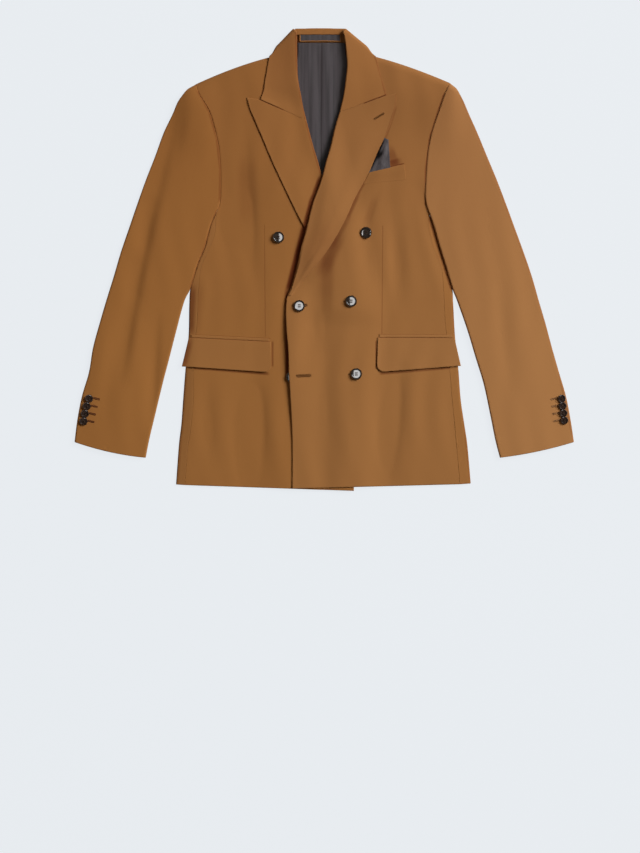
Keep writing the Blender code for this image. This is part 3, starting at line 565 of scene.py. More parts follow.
def cord_mesh(name, lines, radius, resolution, unit=MM):
    """Sweep a round section along lines of points, which are in a unit."""
    path = bpy.data.curves.new(name, "CURVE")
    path.dimensions = "3D"
    for line in lines:
        spline = path.splines.new("POLY")
        spline.points.add(len(line) - 1)
        for point, place in zip(spline.points, line):
            point.co = (*(part * unit for part in place), 1.0)
    path.bevel_depth, path.bevel_resolution, path.use_fill_caps = radius * unit, resolution, True
    mesh = settled(add_object(name, path))
    mesh.shade_smooth()
    return mesh


piping = cord_mesh("neck_piping", [piping_line()], radius=0.95, resolution=2)
sew_in("neck_piping_cord", piping, wool("wool_piping", 1.0), "wool", "neck_piping")

# ------------------------------------------------------------------------------------------------
# Fronts: each is one panel of wool over canvas, from the shoulder to the hem, with a dart under the
# chest. The left one lies over the right one, and stands off it a little along its edge.
FRONT_WALL = 2.2
LAPEL_WALL = 2.2
LAPEL_REST = 3.0
FRONT_REST = 3.4
CENTRE_RISE = 1.6
SHOULDER_ROUND = 11.0
SHOULDER_EDGE = 1.0
PRESSED_GAP = 0.02
PRESSED_ROUND = 0.02
BREAK_HEIGHT = -64.0
NECK_POINT = {"right": (-50.0, 358.0), "left": (42.0, 360.0)}
SHOULDER_BOW = {"right": 6.0, "left": 5.0}
ARMHOLE_ROUND = {"right": 2.0, "left": 0.5}
# Close rows of points where the wall rounds down to the shoulder seam, and beside a pressed seam
SHOULDER_RIM = np.array([0.0, 0.4, 1.3, 2.6, 4.4, 6.6, 9.2, 12.5])
PRESSED_RIM = np.array([0.0, 0.06, 0.5, 1.5, 3.0])
SIDE_SEAM = table(
    "height right left",
    (76, -182, 176), (48, -187, 180.5), (22, -196, 189), (-10, -210.5, 201), (-50, -216.5, 205),
    (-108, -219, 208), (-147, -223.5, 212.5), (-190, -225, 216), (-242, -225.5, 220),
    (-285, -229, 224), (-320, -234, 227), (-390, -240, 233),
)
LAPEL_OUTER = table(
    "height right left",
    (285, -134, 123), (278, -133, 123), (262, -129, 122), (236, -118, 115), (214, -108.5, 106),
    (185, -96.5, 92), (150, -81, 77), (106, -60, 53), (68, -41, 36), (22, -13.5, 10), (-13, 9, -16),
    (-40, 26.5, -38), (-64, 42, -56.5),
)
# Soft ridges and troughs of the body as it lies: a line, its width on each side and its height
RIDGE = "x0 y0 x1 y1 left right height"
FOLDS = table(
    RIDGE,
    (-130, 215, -120, 90, 58, 58, 2.2), (128, 225, 120, 90, 56, 56, 2.2), (-135, 175, -129, 2, 34, 14, -3.7),
    (-173, 150, -167, 10, 26, 13, -1.6), (-205, -20, -206, -70, 13, 13, 0.9),
    (-202, -225, -200, -350, 20, 14, -1.7), (-126, -205, -124, -420, 34, 27, -3.2),
    (-111, -235, -111, -318, 16, 9, -1.5), (-88, -225, -86, -380, 18, 16, 0.9),
    (-240, -90, -254, -410, 30, 14, -2.4), (-8, 6, -5, -150, 24, 18, -3), (-6, -120, 4, -410, 28, 21, -3.3),
    (38, -225, 40, -400, 18, 15, 1.2), (90, 116, 70, 52, 13, 8, -1.4), (71, 26, 71, -22, 14, 10, -0.9),
    (106, 80, 107, -50, 22, 10, 1.4), (126, 68, 128, -72, 14, 13, -1.7), (126, -200, 110, -365, 30, 14, -4),
    (150, -185, 150, -400, 22, 18, 1.3), (190, -220, 192, -395, 20, 20, 0.8),
    (168, 116, 222, -50, 16, 8, -2.8),
)
EDGE_STAND = table(RIDGE, (-60, -82, -56, -238, 30, 30, 4.3))
# Shoulder pads and sleeve heads, which thicken the wall from its outer side
PADS = table(
    RIDGE,
    (-206, 276, -130, 300, 50, 50, 5.2), (202, 276, 126, 300, 54, 50, 5.0),
    (-226, 266, -222, 228, 40, 40, 2.8), (222, 266, 216, 228, 42, 42, 2.4),
)
SHOULDER_TO_UNDERARM = spread(44, ARMHOLE_LENGTH, SHOULDER_RIM, RIM[:1])


def waves(rows, x, y, fade=0.6):
    """Add up the ridges and troughs of a table of lines at points. Each fades towards its ends."""
    total = 0.12 * np.sin(x / 7.0 + 1.7 * np.sin(y / 53.0)) * np.sin(y / 90.0 + x / 160.0)
    for x0, y0, x1, y1, left, right, height in zip(*rows.values()):
        length = math.hypot(x1 - x0, y1 - y0)
        dx, dy = (x1 - x0) / length, (y1 - y0) / length
        along = (x - x0) * dx + (y - y0) * dy
        off = (y - y0) * dx - (x - x0) * dy
        past = np.maximum(np.maximum(-along, along - length), 0.0)
        away = np.hypot(off / np.where(off > 0, right, left), past / max(left, right))
        full = 1.0 - fade * (1.0 - np.sin(np.pi * np.clip(along / length, 0.0, 1.0)))
        total = total + height * full * np.exp(-away * away)
    return total


def edge_round(away):
    """Rise along a quarter ellipse from the shoulder seam."""
    return np.sqrt(1 - (1 - np.minimum(away / SHOULDER_ROUND, 1.0)) ** 2)


def over_lower(x, y):
    """Lift of the left front over the right front, and over that front's lapel."""
    edge = read(ROLL, "right", y)
    lapel_start = read(LAPEL_OUTER, "right", y)
    on_lapel = smooth(lapel_start - 88, lapel_start - 13, x) * smooth(-118, -80, y)
    lift = FRONT_WALL + REST_GAP + LAPEL_REST * on_lapel
    return lift * (1 - smooth(edge + 6, edge + 62, x))


def lapel_trough(x, y):
    """Dip of the body along the left lapel's outer edge, deepest above the waist."""
    away = x - read(LAPEL_OUTER, "left", y) + 4.0
    reach = smooth(-80, -25, y) * (1 - smooth(190, 262, y)) * mix(0.45, 1.0, smooth(150, 50, y))
    return 3.2 * reach * np.exp(-((away / np.where(away > 0, 15.0, 26.0)) ** 2))


def front_under(side, x, y):
    """Height of a front's underside."""
    centre = CENTRE_RISE * (1 - smooth(55, 120, np.abs(x - CENTRE_X)))
    rest = FRONT_REST - BACK_WALL - SEAM_GAP + centre
    lift = np.maximum(rest + waves(FOLDS, x, y) - lapel_trough(x, y), 0.0)
    if side == "left":
        lift = lift + over_lower(x, y) + waves(EDGE_STAND, x, y)
    return BACK_WALL + SEAM_GAP + neck_rise(x, y) + lift


def front_top(side, x, y):
    """Height of a front's outer side."""
    return front_under(side, x, y) + FRONT_WALL + waves(PADS, x, y, 0.0)


def hollow(side, x, y):
    """Dip of the right front beside the left one's edge."""
    away = read(ROLL, "left", y) - x
    reach = (1 - smooth(100, 150, y)) * smooth(-330, -250, y) * (side == "right")
    return 1.2 * reach * np.exp(-((away / 22.0) ** 2))


def inner_edge(side, y):
    """Where a front's wall ends: behind the rolled lapel, or at the plain front edge."""
    inset = (LAPEL_WALL + 0.6) * smooth(BREAK_HEIGHT - 1, BREAK_HEIGHT + 5, y)
    return read(ROLL, side, y) + OUTWARD[side] * inset


def front_points(side):
    """Points of a front: ribs run from its armhole and side seam to its roll line and front edge."""
    neck_x, neck_y = NECK_POINT[side]
    down, level, start_x, start_y = rib_starts(side, SIDE_SEAM, PRESSED_GAP, SHOULDER_TO_UNDERARM, 120)
    body = level < UNDERARM
    end_y = np.where(body, level, mix(neck_y, UNDERARM, down))
    end_x = mix(neck_x, inner_edge(side, end_y), np.minimum(down / 0.1, 1.0))
    end_y = np.where(body, level_height(side, level, end_x), end_y)
    across = spread(72, 250.0, PRESSED_RIM)
    x, y = ribs(start_x, start_y, end_x, end_y, across, down, SHOULDER_BOW[side])
    rise = edge_round(np.hypot(x - x[:1], y - y[:1]))
    low, dip = BACK_WALL + SEAM_GAP + neck_rise(x, y), hollow(side, x, y)
    over = grid(x, y, mix(low + SHOULDER_EDGE, front_top(side, x, y) - dip, rise))
    return over, grid(x, y, mix(low, front_under(side, x, y) - dip, rise))


def seam_round(side, points):
    """Rounding of the wall down its armhole and side seam, which are pressed flat below the underarm."""
    y = points[0][:, :1, 1]
    armhole = smooth(84, 100, y) * mix(0.25, 1.0, smooth(285, 225, y))
    return PRESSED_ROUND + ARMHOLE_ROUND[side] * armhole


def marks_along(rows, side, *runs):
    """Marks that follow a table's line. A run has its heights, its width and its depth."""
    marks = []
    for heights, width, depth in runs:
        places = [(float(read(rows, side, height)), height) for height in heights]
        marks += [(*start, *end, width, depth) for start, end in zip(places, places[1:])]
    return marks


# Darts and the tops of the pocket jets, which are seams, and painted shade: in the breast pocket's mouth,
# beside and under the edges that lie over the fronts, along the left armhole, towards the right side's
# edge and down folds: start, end, width and depth
FRONT_SEAMS_AND_SHADE = {
    "right": [
        (-103, 60, -101.5, -133, 1.1, 0.28), (-233, -129, -93, -135.8, 1, 0.4),
        (-89, -141, -89, -184, 2.6, 0.45), (-34, 58, -62, -52, 7, 0.8), (-62, -54, -61, -206, 8.5, 0.8),
        (-134, 165, -131, 70, 22, 0.12),
        *marks_along(LAPEL_OUTER, "right", ((262, 185, 106, 22), 3.2, 0.45)),
        (-236, -185.5, -96, -196.5, 3.6, 0.5), (-95, 346, -101.5, 309, 2.4, 0.4),
        (-101.5, 309, -108, 278, 2.4, 0.4), (-222, -45, -230, -124, 22, 0.2),
    ],
    "left": [
        (100.5, 58, 99, -131, 1.1, 0.34), (223, -129.5, 93, -129, 1, 0.4), (113, 159, 137, 164.8, 1.8, 0.7),
        (112, 190, 121, 167, 11, 0.42), (110, 164, 129, 169, 8, 0.6),
        *marks_along(
            LAPEL_OUTER, "left", ((262, 214, 150), 5, 0.28), ((146, 112), 5.5, 0.44), ((112, 72), 8, 0.5),
            ((72, 22), 11, 0.38),
        ),
        *marks_along(ARMHOLE, "left", ((285, 255, 209, 154, 94), 3.4, 0.6)), (228, -185, 96, -196, 3.6, 0.5),
        (89.8, -140, 89.8, -186, 3.2, 0.5), (86, 102, 73, 64, 9, 0.12), (22, 38, -3, -22, 18, 0.4),
        (4, -6, 1, -60, 20, 0.12), (6, 10, 4, -88, 14, 0.13),
    ],
}
# The fronts' tone and warmth differ as painted shade: the right one, away from the key light, is darker and
# less blue
for wearer_side, tone, warmth in (("right", 0.88, 0.35), ("left", 0.90, -0.4)):
    node = f"front_{wearer_side}"
    points = front_points(wearer_side)
    lay_cloth(
        node, points, wool(f"wool_{node}", tone, FRONT_SEAMS_AND_SHADE[wearer_side], warmth),
        start=seam_round(wearer_side, points),
        flat=(0.36, 0.77), held="laid", rests_on=["back_left_cloth", "back_right_cloth"], area=0.19,
    )

# ------------------------------------------------------------------------------------------------
# Side bodies: one at each side, from the front's side seam round the edge of the garment to the back
# seam underneath. The edge is a soft fold.
SIDE_WALL = 1.6
SIDE_HEIGHT = 5.6
BODY_EDGE = table(
    "height right left",
    (76, -187.6, 180.6), (60, -194, 186), (22, -204, 197), (-10, -217, 207), (-50, -229, 219),
    (-70, -232, 221.5), (-130, -233.5, 225), (-190, -239, 231), (-242, -243, 235), (-285, -246, 241),
    (-320, -250, 246), (-390, -255, 252),
)
FOLD_TURN = np.radians([90, 75, 60, 45, 30, 15, 0, -15, -30, -45, -60, -75, -90])


def side_body_points(side):
    """Points of a side body: from the front seam, round the fold and under to the back seam."""
    out = OUTWARD[side]
    radius = SIDE_HEIGHT / 2
    level = down_rows(UNDERARM - 1.0, LOWEST, 114)
    beside_sleeve = smooth(-75, -45, level) * (1 - smooth(66, 84, level))
    edge = read(BODY_EDGE, side, level) + out * 1.5 * beside_sleeve
    seam = np.abs(edge - seam_x(SIDE_SEAM, side, level)) - PRESSED_GAP / 2
    back = np.abs(edge - seam_x(BACK_SEAM, side, level)) - SEAM_GAP / 2
    over = mix(seam, radius, np.array([0.0, 0.007, 0.06, 0.25, 0.5, 0.75]))
    under = mix(radius, back, np.array([*np.linspace(0, 1, 12)[1:-1], 0.985, 0.995, 1.0]))

    def wall(depth):
        turn = radius - (radius - depth) * np.cos(FOLD_TURN) + 0 * level
        turn_z = radius + (radius - depth) * np.sin(FOLD_TURN) + 0 * level
        inward = np.concatenate([over, turn, under], axis=1)
        z = np.concatenate([0 * over + SIDE_HEIGHT - depth, turn_z, 0 * under + depth], axis=1)
        x = edge - out * inward
        y = level_height(side, level + 0 * x, edge - out * np.minimum(inward, seam))
        z = z + waves(FOLDS, x, level) * smooth(radius - 0.5, radius + 1.5, z)
        return grid(x, y, z)

    return wall(0.0), wall(SIDE_WALL)


# Painted shade along the side bodies' folded outer edges: start, end, width and depth
SIDE_SHADE = {
    "right": [(-229, -48, -233, -126, 13, 0.55), (-240, -192, -255, -388, 7, 0.25)],
    "left": marks_along(
        BODY_EDGE, "left", ((76, 22, -52), 4, 0.5), ((-76, -130), 3.6, 0.3), ((-190, -285, -390), 3.6, 0.3),
    ),
}
# The side body on the wearer's right, away from the key light, has a darker tone: painted shade
for wearer_side, tone in (("right", 0.84), ("left", 0.92)):
    node = f"side_panel_{wearer_side}"
    points = side_body_points(wearer_side)
    lay_cloth(
        node, points, wool(f"wool_{node}", tone, SIDE_SHADE[wearer_side]),
        rounding=0.9, start=seam_round(wearer_side, points),
        flat=(0.13, 0.48), held="folded", rests_on=["table_top"], area=0.045,
    )

# ------------------------------------------------------------------------------------------------
# Lapels: each folds over its front along the roll line, from the gorge down to the break above the
# fastened button, and rolls softly rather than lying pressed flat.
ROLL_RADIUS = 2.5
ROLL_LIFT = 1.6
ROLL_SPREAD = 16.0
GORGE_ROLL = {"right": (-31.0, 239.0), "left": (26.0, 253.0)}
NOTCH = {"right": (-109.0, 274.0), "left": (106.0, 282.0)}
PEAK = {"right": (-133.0, 278.0), "left": (123.0, 285.0)}
ROLL_TURN = np.radians([8, 20, 34, 48, 62, 76, 90])


def roll_lift(side, away, y):
    """How far a soft roll lifts the cloth near the roll line: not where the left front lies on it."""
    if side == "right":
        return ROLL_LIFT * smooth(125, 185, y) * np.exp(-((away / ROLL_SPREAD) ** 2))
    low = smooth(180, 90, y)
    lift = (0.8 + 1.4 * low) * smooth(BREAK_HEIGHT, BREAK_HEIGHT + 60, y)
    past = away - 26.0 * low
    return lift * np.exp(-((past / np.where(past > 0, 42.0, ROLL_SPREAD)) ** 2))


def rolled(width, leg, depth, run):
    """Distance from the roll line, and drop below the outer side, across a rolled wall's section."""
    legs = np.array([1.0, 0.9, 0.7, 0.35, 0.0])
    inside = ROLL_RADIUS - depth
    turn_away = ROLL_RADIUS - inside * np.cos(ROLL_TURN) + 0 * width
    turn_drop = ROLL_RADIUS - inside * np.sin(ROLL_TURN) + 0 * width
    away = np.concatenate([depth + 0 * leg * legs, turn_away, mix(ROLL_RADIUS, width, run)], axis=1)
    drop = np.concatenate([mix(ROLL_RADIUS, leg, legs), turn_drop, depth + 0 * width * run], axis=1)
    return away, drop, legs.size + ROLL_TURN.size


def lapel_points(side):
    """Points of a lapel: sections from the roll line to the outer edge, gorge first."""
    out = OUTWARD[side]
    roll_x, roll_y = GORGE_ROLL[side]
    notch_share = (NOTCH[side][0] - roll_x) / (PEAK[side][0] - roll_x)
    notch_rise = NOTCH[side][1] - mix(roll_y, PEAK[side][1], notch_share)
    row = spread(120, 310.0)[:, None]
    run = spread(40, 110.0, np.array([0.0, 1.0]))[1:]
    start_y = mix(roll_y, BREAK_HEIGHT + 1.5, row)
    end_y = mix(PEAK[side][1], BREAK_HEIGHT + 1.5, row)
    start_x, end_x = read(ROLL, side, start_y), read(LAPEL_OUTER, side, end_y)
    width = np.hypot(end_x - start_x, end_y - start_y)
    flat_end = smooth(BREAK_HEIGHT + 2, BREAK_HEIGHT + 36, start_y)
    rest = LAPEL_REST * mix(0.2, 1.0, flat_end)
    base = front_top(side, start_x + out * 4, start_y) + rest + roll_lift(side, ROLL_RADIUS, start_y)
    leg = base - front_under(side, start_x + out * 2, start_y)

    def wall(depth):
        away, drop, rolled_columns = rolled(width, leg, depth * mix(0.35, 1.0, flat_end), run)
        share = away / width
        x, y = mix(start_x, end_x, share), mix(start_y, end_y, share)
        tent = np.where(share < notch_share, share / notch_share, (1 - share) / (1 - notch_share))
        y = y + notch_rise * tent * (1 - smooth(0, 0.2, row))
        thin = smooth(0.6, 1.0, share)
        lying = front_top(side, x, y) + rest - 0.8 * thin + roll_lift(side, away, start_y)
        if side == "left":
            lying = lying + lapel_trough(x, y) * (1 - 0.6 * thin)
        top_z = np.where(np.arange(x.shape[1]) < rolled_columns, base, lying)
        return grid(x, y, top_z - drop * (1 - 0.35 * thin))

    return wall(0.0), wall(LAPEL_WALL)


def gorge_rim(points, start, end):
    """Rounding along the gorge seam, which is pressed flat by the roll and opens between two shares."""
    return smooth(start, end, np.linspace(0, 1, points[0].shape[1])) * 1.3 + PRESSED_ROUND


# Painted shade: start, end, width and depth. Down the gorge seam from the notch, a dark line is partly the
# seam and partly painted shade under the collar's edge. On the right lapel the shade lies under the left
# front's edge and along the roll, and on the left lapel along its outer edge and over its lower part.
GORGE_SEAM_AND_SHADE = {"right": [(-110.5, 274.3, -70, 256.5, 1.5, 0.5)], "left": [(107.5, 283, 68, 268.2, 1.5, 0.6)]}
LAPEL_SHADE = {
    "right": [
        (-7, 140, -21, 102, 6, 0.7), (-21, 104, -36, 46, 6.5, 0.75),
        *marks_along(ROLL, "right", ((239, 192, 135), 4.4, 0.42)),
    ],
    "left": [
        *marks_along(LAPEL_OUTER, "left", ((284, 262, 214, 170), 2.2, 0.25)), (6, 60, -28, -28, 32, 0.14),
    ],
}
for wearer_side, tone, warmth in (("right", 0.96, 0.0), ("left", 0.90, -0.6)):
    node = f"lapel_{wearer_side}"
    points = lapel_points(wearer_side)
    lines = GORGE_SEAM_AND_SHADE[wearer_side] + LAPEL_SHADE[wearer_side]
    lay_cloth(
        node, points, wool(f"wool_{node}", tone, lines, warmth, 0.35 * OUTWARD[wearer_side]),
        head=gorge_rim(points, 0.38, 0.52),
        flat=(0.13, 0.36), held="folded", rests_on=[f"front_{wearer_side}_cloth"], area=0.026,
    )

# ------------------------------------------------------------------------------------------------
# Collar: one strip of wool over felt. A leaf lies on each front, meets its lapel at the gorge seam,
# folds over the shoulder and runs round the back of the neck as the fall, under the back panels.
COLLAR_TOP = 398.0
FALL_EDGE = 351.0
FOLD_LINE = {"right": ((-47.0, 396.0), (-93.0, 353.0)), "left": ((30.0, 396.0), (86.0, 353.0))}
FOLD_INSET = 4.8
LEAF_OUTER = table(
    "height right left",
    (353, -93, 86), (340, -96, 91), (326, -98.5, 94), (309, -101.5, 99), (292, -104, 104),
    (282, -106, 106), (274, -109, 107),
)


def leaf_lift(side, away, y):
    """How far the leaf's roll lifts it: its slope runs on to the outer edge higher up."""
    return roll_lift(side, away, y) + 3.6 * smooth(250, 300, y) * np.exp(-((away / 36.0) ** 2))


def leaf_sections(side, share, run, depth):
    """Sections of the leaf on one front, share 0 at the gorge and 1 at the fold: x, y, top and drop."""
    start_y = mix(GORGE_ROLL[side][1], FOLD_LINE[side][0][1] - FOLD_INSET, share)
    end_y = mix(NOTCH[side][1], FOLD_LINE[side][1][1] - FOLD_INSET, share)
    start_x, end_x = read(ROLL, side, start_y), read(LEAF_OUTER, side, end_y)
    end_x = mix(NOTCH[side][0], end_x, smooth(0, 0.2, share))
    width = np.hypot(end_x - start_x, end_y - start_y)
    seat_x, seat_y = start_x + OUTWARD[side] * 4, np.minimum(start_y, 360)
    step = (LAPEL_REST - REST_GAP - COLLAR_WALL) * (1 - smooth(0, 0.3, share))
    notch_step = 0.8 * (1 - smooth(0, 0.5, share))
    base = front_top(side, seat_x, seat_y) + REST_GAP + COLLAR_WALL + step + leaf_lift(side, 3.0, start_y)
    leg = mix(base - front_under(side, seat_x, seat_y), 4.0, smooth(0.5, 1.0, share))
    away, drop, rolled_columns = rolled(width, leg, depth, run)
    x, y = mix(start_x, end_x, away / width), mix(start_y, end_y, away / width)
    lying = front_top(side, x, y) + REST_GAP + COLLAR_WALL + step + leaf_lift(side, away, start_y)
    lying = lying + notch_step * smooth(0.5, 0.75, away / width) * (1 - smooth(0.0, 0.12, share))
    return x, y, np.where(np.arange(x.shape[1]) < rolled_columns, base, lying), drop


def collar_points():
    """Points of the collar: right leaf, fold, fall under the back, fold, left leaf."""
    run = spread(30, 75.0, np.array([0.0, 1.0]))[1:]
    leaf = spread(34, 140.0, RIM, RIM[:1])[:, None]
    turn = np.radians(np.linspace(0, 180, 14)[1:-1])[:, None]
    fall = np.linspace(0, 1, 40)[:, None]

    def wall(depth):
        parts = []
        ends = {}
        for side in ("right", "left"):
            x, y, top_z, drop = leaf_sections(side, leaf, run, depth)
            leaf_part = grid(x, y, top_z - drop)
            x, y, top_z, drop = leaf_sections(side, np.ones((1, 1)), run, depth)
            ends[side] = (x, y, drop)
            radius = top_z / 2
            (ax, ay), (bx, by) = FOLD_LINE[side]
            length = math.hypot(bx - ax, by - ay)
            share = np.clip(np.hypot(x - ax, y - ay) / length, 0.0, 1.0)
            reach = (radius - drop) * np.sin(turn) * (1 - 0.75 * smooth(0.7, 1.0, share))
            fold_part = grid(
                x + (ay - by) / length * OUTWARD[side] * reach, y + abs(bx - ax) / length * reach,
                radius + (radius - drop) * np.cos(turn),
            )
            parts.append((leaf_part, fold_part))
        (rx, ry, drop), (lx, ly, _) = ends["right"], ends["left"]
        x, y = mix(rx, lx, fall), mix(ry, ly, fall)
        middle = 4 * fall * (1 - fall)
        top_rise = (COLLAR_TOP - FOLD_LINE["right"][0][1] + FOLD_INSET) * (1 - np.abs(2 * fall - 1) ** 6)
        first = x.shape[1] - run.size
        to_edge = np.concatenate([np.zeros(first), run])
        y = y + mix(top_rise, (FALL_EDGE - 348.0) * middle, to_edge)
        stretch = np.where(np.arange(x.shape[1]) < 5, 1 + 0.4 * middle, 1.0)
        fall_part = grid(x, y, drop * stretch)
        (right_leaf, right_fold), (left_leaf, left_fold) = parts
        return np.concatenate([right_leaf, right_fold, fall_part, left_fold[::-1], left_leaf[::-1]])

    return wall(0.0), wall(COLLAR_WALL)


# Painted shade on the collar: along the right leaf's roll, over the right leaf, and along the left leaf's
# outer edge: start, end, width and depth
COLLAR_SHADE = [
    *marks_along(ROLL, "right", ((390, 335, 283, 239), 4.4, 0.42)), (-70, 385, -76, 290, 45, 0.11),
    *marks_along(LEAF_OUTER, "left", ((350, 309, 276), 2.6, 0.35)),
]
points = collar_points()
gorge = gorge_rim(points, 0.45, 0.62)
lay_cloth(
    "collar", points, wool("wool_collar", 0.95, [*sum(GORGE_SEAM_AND_SHADE.values(), []), *COLLAR_SHADE], -0.3),
    head=gorge, foot=gorge, flat=(0.40, 0.16), held="folded",
    rests_on=["front_left_cloth", "front_right_cloth", "table_top"], area=0.024,
)

# ------------------------------------------------------------------------------------------------
# Sleeves: set into the armholes over a small pad. The top sleeve wraps both edges, and the under
# sleeve lies flat on the table between them.
SLEEVE_WALL = 1.8
SLEEVE_EDGE = 7.6
SLEEVE_CROWN = 1.4
SLEEVE_HOLLOW_TOP = 5.4
SLEEVE_WRAP = 16.0
SLEEVE_RADIUS = 3.0
SLEEVE_LENGTH = 430.0
CUFF_INNER = -341.0
CUFF_OUTER = -314.0
CUFF_BOW = {"right": -4.0, "left": -3.0}
SLEEVE_OUTER = table(
    "height right left",
    (298, -228, 225), (292, -236, 229), (281, -245, 235), (271, -252, 240), (250, -261, 249),
    (219, -276, 263), (178, -291, 280), (137, -307, 297), (95, -322, 313), (54, -336, 328),
    (13, -350, 343), (-28, -362, 357), (-70, -375, 369), (-111, -387, 381), (-152, -398, 392),
    (-194, -405, 404), (-235, -417, 416), (-276, -425, 424), (-316, -430, 430),
)
SLEEVE_INNER = table(
    "height right left",
    (85, -184, 178), (60, -195, 187), (22, -205, 198), (-10, -218, 208), (-50, -230, 220),
    (-70, -240, 228), (-123, -254.5, 246.5), (-168, -266, 260), (-214, -278, 274),
    (-270, -291.5, 286), (-310, -301, 294), (-341, -307, 302),
)
SLEEVE_FOLDS = table(
    RIDGE,
    (-245, 262, -257, 176, 20, 13, -1.6), (-266, 212, -305, 40, 24, 11, -2.5),
    (-298, 84, -323, -48, 22, 10, -3.3), (-318, -16, -350, -200, 20, 10, -2.9),
    (-288, -110, -297, -275, 16, 9, -2.4), (-322, -80, -327, -200, 12, 12, 0.9),
    (-378, -100, -393, -250, 18, 16, 1), (-336, -180, -346, -300, 26, 22, 1),
    (288, 190, 330, -30, 26, 24, 1.1), (332, -50, 356, -230, 22, 20, 0.8),
    (300, -50, 320, -220, 14, 16, -1.2),
)


class Sleeve:
    """One sleeve's ribs: 0 to 1 down the armhole and on to the cuff, each from inner to outer edge."""

    def __init__(self, side):
        self.side = side
        head = SHOULDER_TO_UNDERARM
        arm = np.linspace(0, 1, 100)[1:]
        arm = np.concatenate([arm[:-1], 1 - RIM[:0:-1] / SLEEVE_LENGTH, [1.0]])
        self.down = np.concatenate([head, np.ones(len(arm))])[:, None]
        self.arm = np.concatenate([np.zeros(len(head)), arm])[:, None]
        x, y = armhole_point(side, self.down)
        on_arm = self.arm > 0
        self.y0 = np.where(on_arm, mix(UNDERARM, CUFF_INNER, self.arm), y)
        self.x0 = np.where(on_arm, read(SLEEVE_INNER, side, self.y0), x) + OUTWARD[side] * SEAM_GAP / 2
        self.y1 = np.where(on_arm, mix(110.0, CUFF_OUTER, self.arm), mix(295.0, 110.0, self.down))
        self.x1 = read(SLEEVE_OUTER, side, self.y1)
        self.width = np.hypot(self.x1 - self.x0, self.y1 - self.y0)
        self.wrap = smooth(0.9, 1.0, self.down) * 0.5 + smooth(0.0, 0.085, self.arm) * 0.5

    def plan(self, away):
        """Place in plan at distances from the inner edge along the ribs, and their shares."""
        share = away / self.width
        bow = CUFF_BOW[self.side] * smooth(0.75, 1.0, self.arm)
        y = mix(self.y0, self.y1, share) + 4 * bow * share * (1 - share)
        return mix(self.x0, self.x1, share), y, share

    def top(self, away):
        """Height of the outer side, which starts low at the end of the shoulder."""
        x, y, share = self.plan(away)
        crown = SLEEVE_CROWN * np.sin(np.pi * np.clip(share, 0.0, 1.0))
        full = SLEEVE_EDGE + crown + waves(SLEEVE_FOLDS, x, y) + waves(PADS, x, y, 0.0)
        first_x = mix(self.x0[:1], self.x1[:1], share)
        first_y = mix(self.y0[:1], self.y1[:1], share)
        low = BACK_WALL + SEAM_GAP + SHOULDER_EDGE
        return mix(low, full, edge_round(np.hypot(x - first_x, y - first_y)))

    def points(self):
        """Outer and inner points of the top sleeve."""
        width, wrap = self.width, self.wrap
        radius = mix(1.5, SLEEVE_RADIUS, smooth(2.9, 6.0, self.top(width / 2)))
        if self.side == "right":
            radius = radius * mix(0.62, 1.0, wrap)
        middle = np.linspace(0, 1, 46)[1:-1]
        tucks = np.array([1.0, 0.97, 0.9, 0.7, 0.35])
        edge_in, edge_out = self.top(radius), self.top(width - radius)

        def wall(inside):
            def edge(edge_top, turn, share):
                thin = mix(SHOULDER_EDGE, SLEEVE_WALL, smooth(2.9, 5.0, edge_top)) * inside
                half = edge_top / 2
                inward = radius - (radius - thin) * np.cos(turn)
                free = half - (half - thin) * np.sin(turn)
                past = turn < 0
                seam_away = np.where(past, thin, inward)
                seam_drop = np.where(
                    past, radius - 0.6 * turn / FOLD_TURN[0], radius - (radius - thin) * np.sin(turn),
                )
                return mix(seam_away, inward, share), mix(seam_drop, free, share), thin

            away_in, drop_in, thin = edge(edge_in, FOLD_TURN[::-1], wrap)
            tuck_away = mix(thin + 0 * tucks, mix(radius, radius + SLEEVE_WRAP, tucks), wrap)
            tuck_drop = mix(radius + 0.8 + 0 * tucks, edge_in - thin + 0 * tucks, wrap)
            away_out, drop_out, _ = edge(edge_out, FOLD_TURN, 1.0)
            away_run = mix(radius, width - radius, middle)
            run_top = self.top(away_run)
            thin_run = mix(SHOULDER_EDGE, SLEEVE_WALL, smooth(2.9, 5.0, run_top))
            run_z = run_top - inside * np.maximum(thin_run, run_top - SLEEVE_HOLLOW_TOP)
            away = np.concatenate([tuck_away, away_in, away_run, width - away_out], axis=1)
            z = np.concatenate([edge_in - tuck_drop, edge_in - drop_in, run_z, edge_out - drop_out], axis=1)
            x, y, _ = self.plan(away)
            return grid(x, y, z)

        return wall(0.0), wall(1.0)

    def under_points(self):
        """Points of the under sleeve, between the two folded edges of the top sleeve."""
        tuck = (SLEEVE_RADIUS + SLEEVE_WRAP + SEAM_GAP) * self.wrap + 6 * self.wrap * (1 - self.wrap)
        away = mix(tuck, self.width - SLEEVE_RADIUS - SEAM_GAP, spread(14, 120.0))
        x, y, _ = self.plan(away)
        return laid_wall(x[8:], y[8:], 0.0, BACK_WALL)


# Painted shade along the left sleeve's outer edge, and along the right sleeve's inner edge where it meets
# the front and the body: start, end, width and depth
SLEEVE_SHADE = {
    "left": marks_along(SLEEVE_OUTER, "left", ((281, 219, 137, -28, -194, -316), 4.4, 0.28)),
    "right": [
        *marks_along(ARMHOLE, "right", ((290, 255, 209, 154, 100), 4.4, 0.36)),
        *marks_along(SLEEVE_INNER, "right", ((84, 22, -50), 4.4, 0.36)),
    ],
}
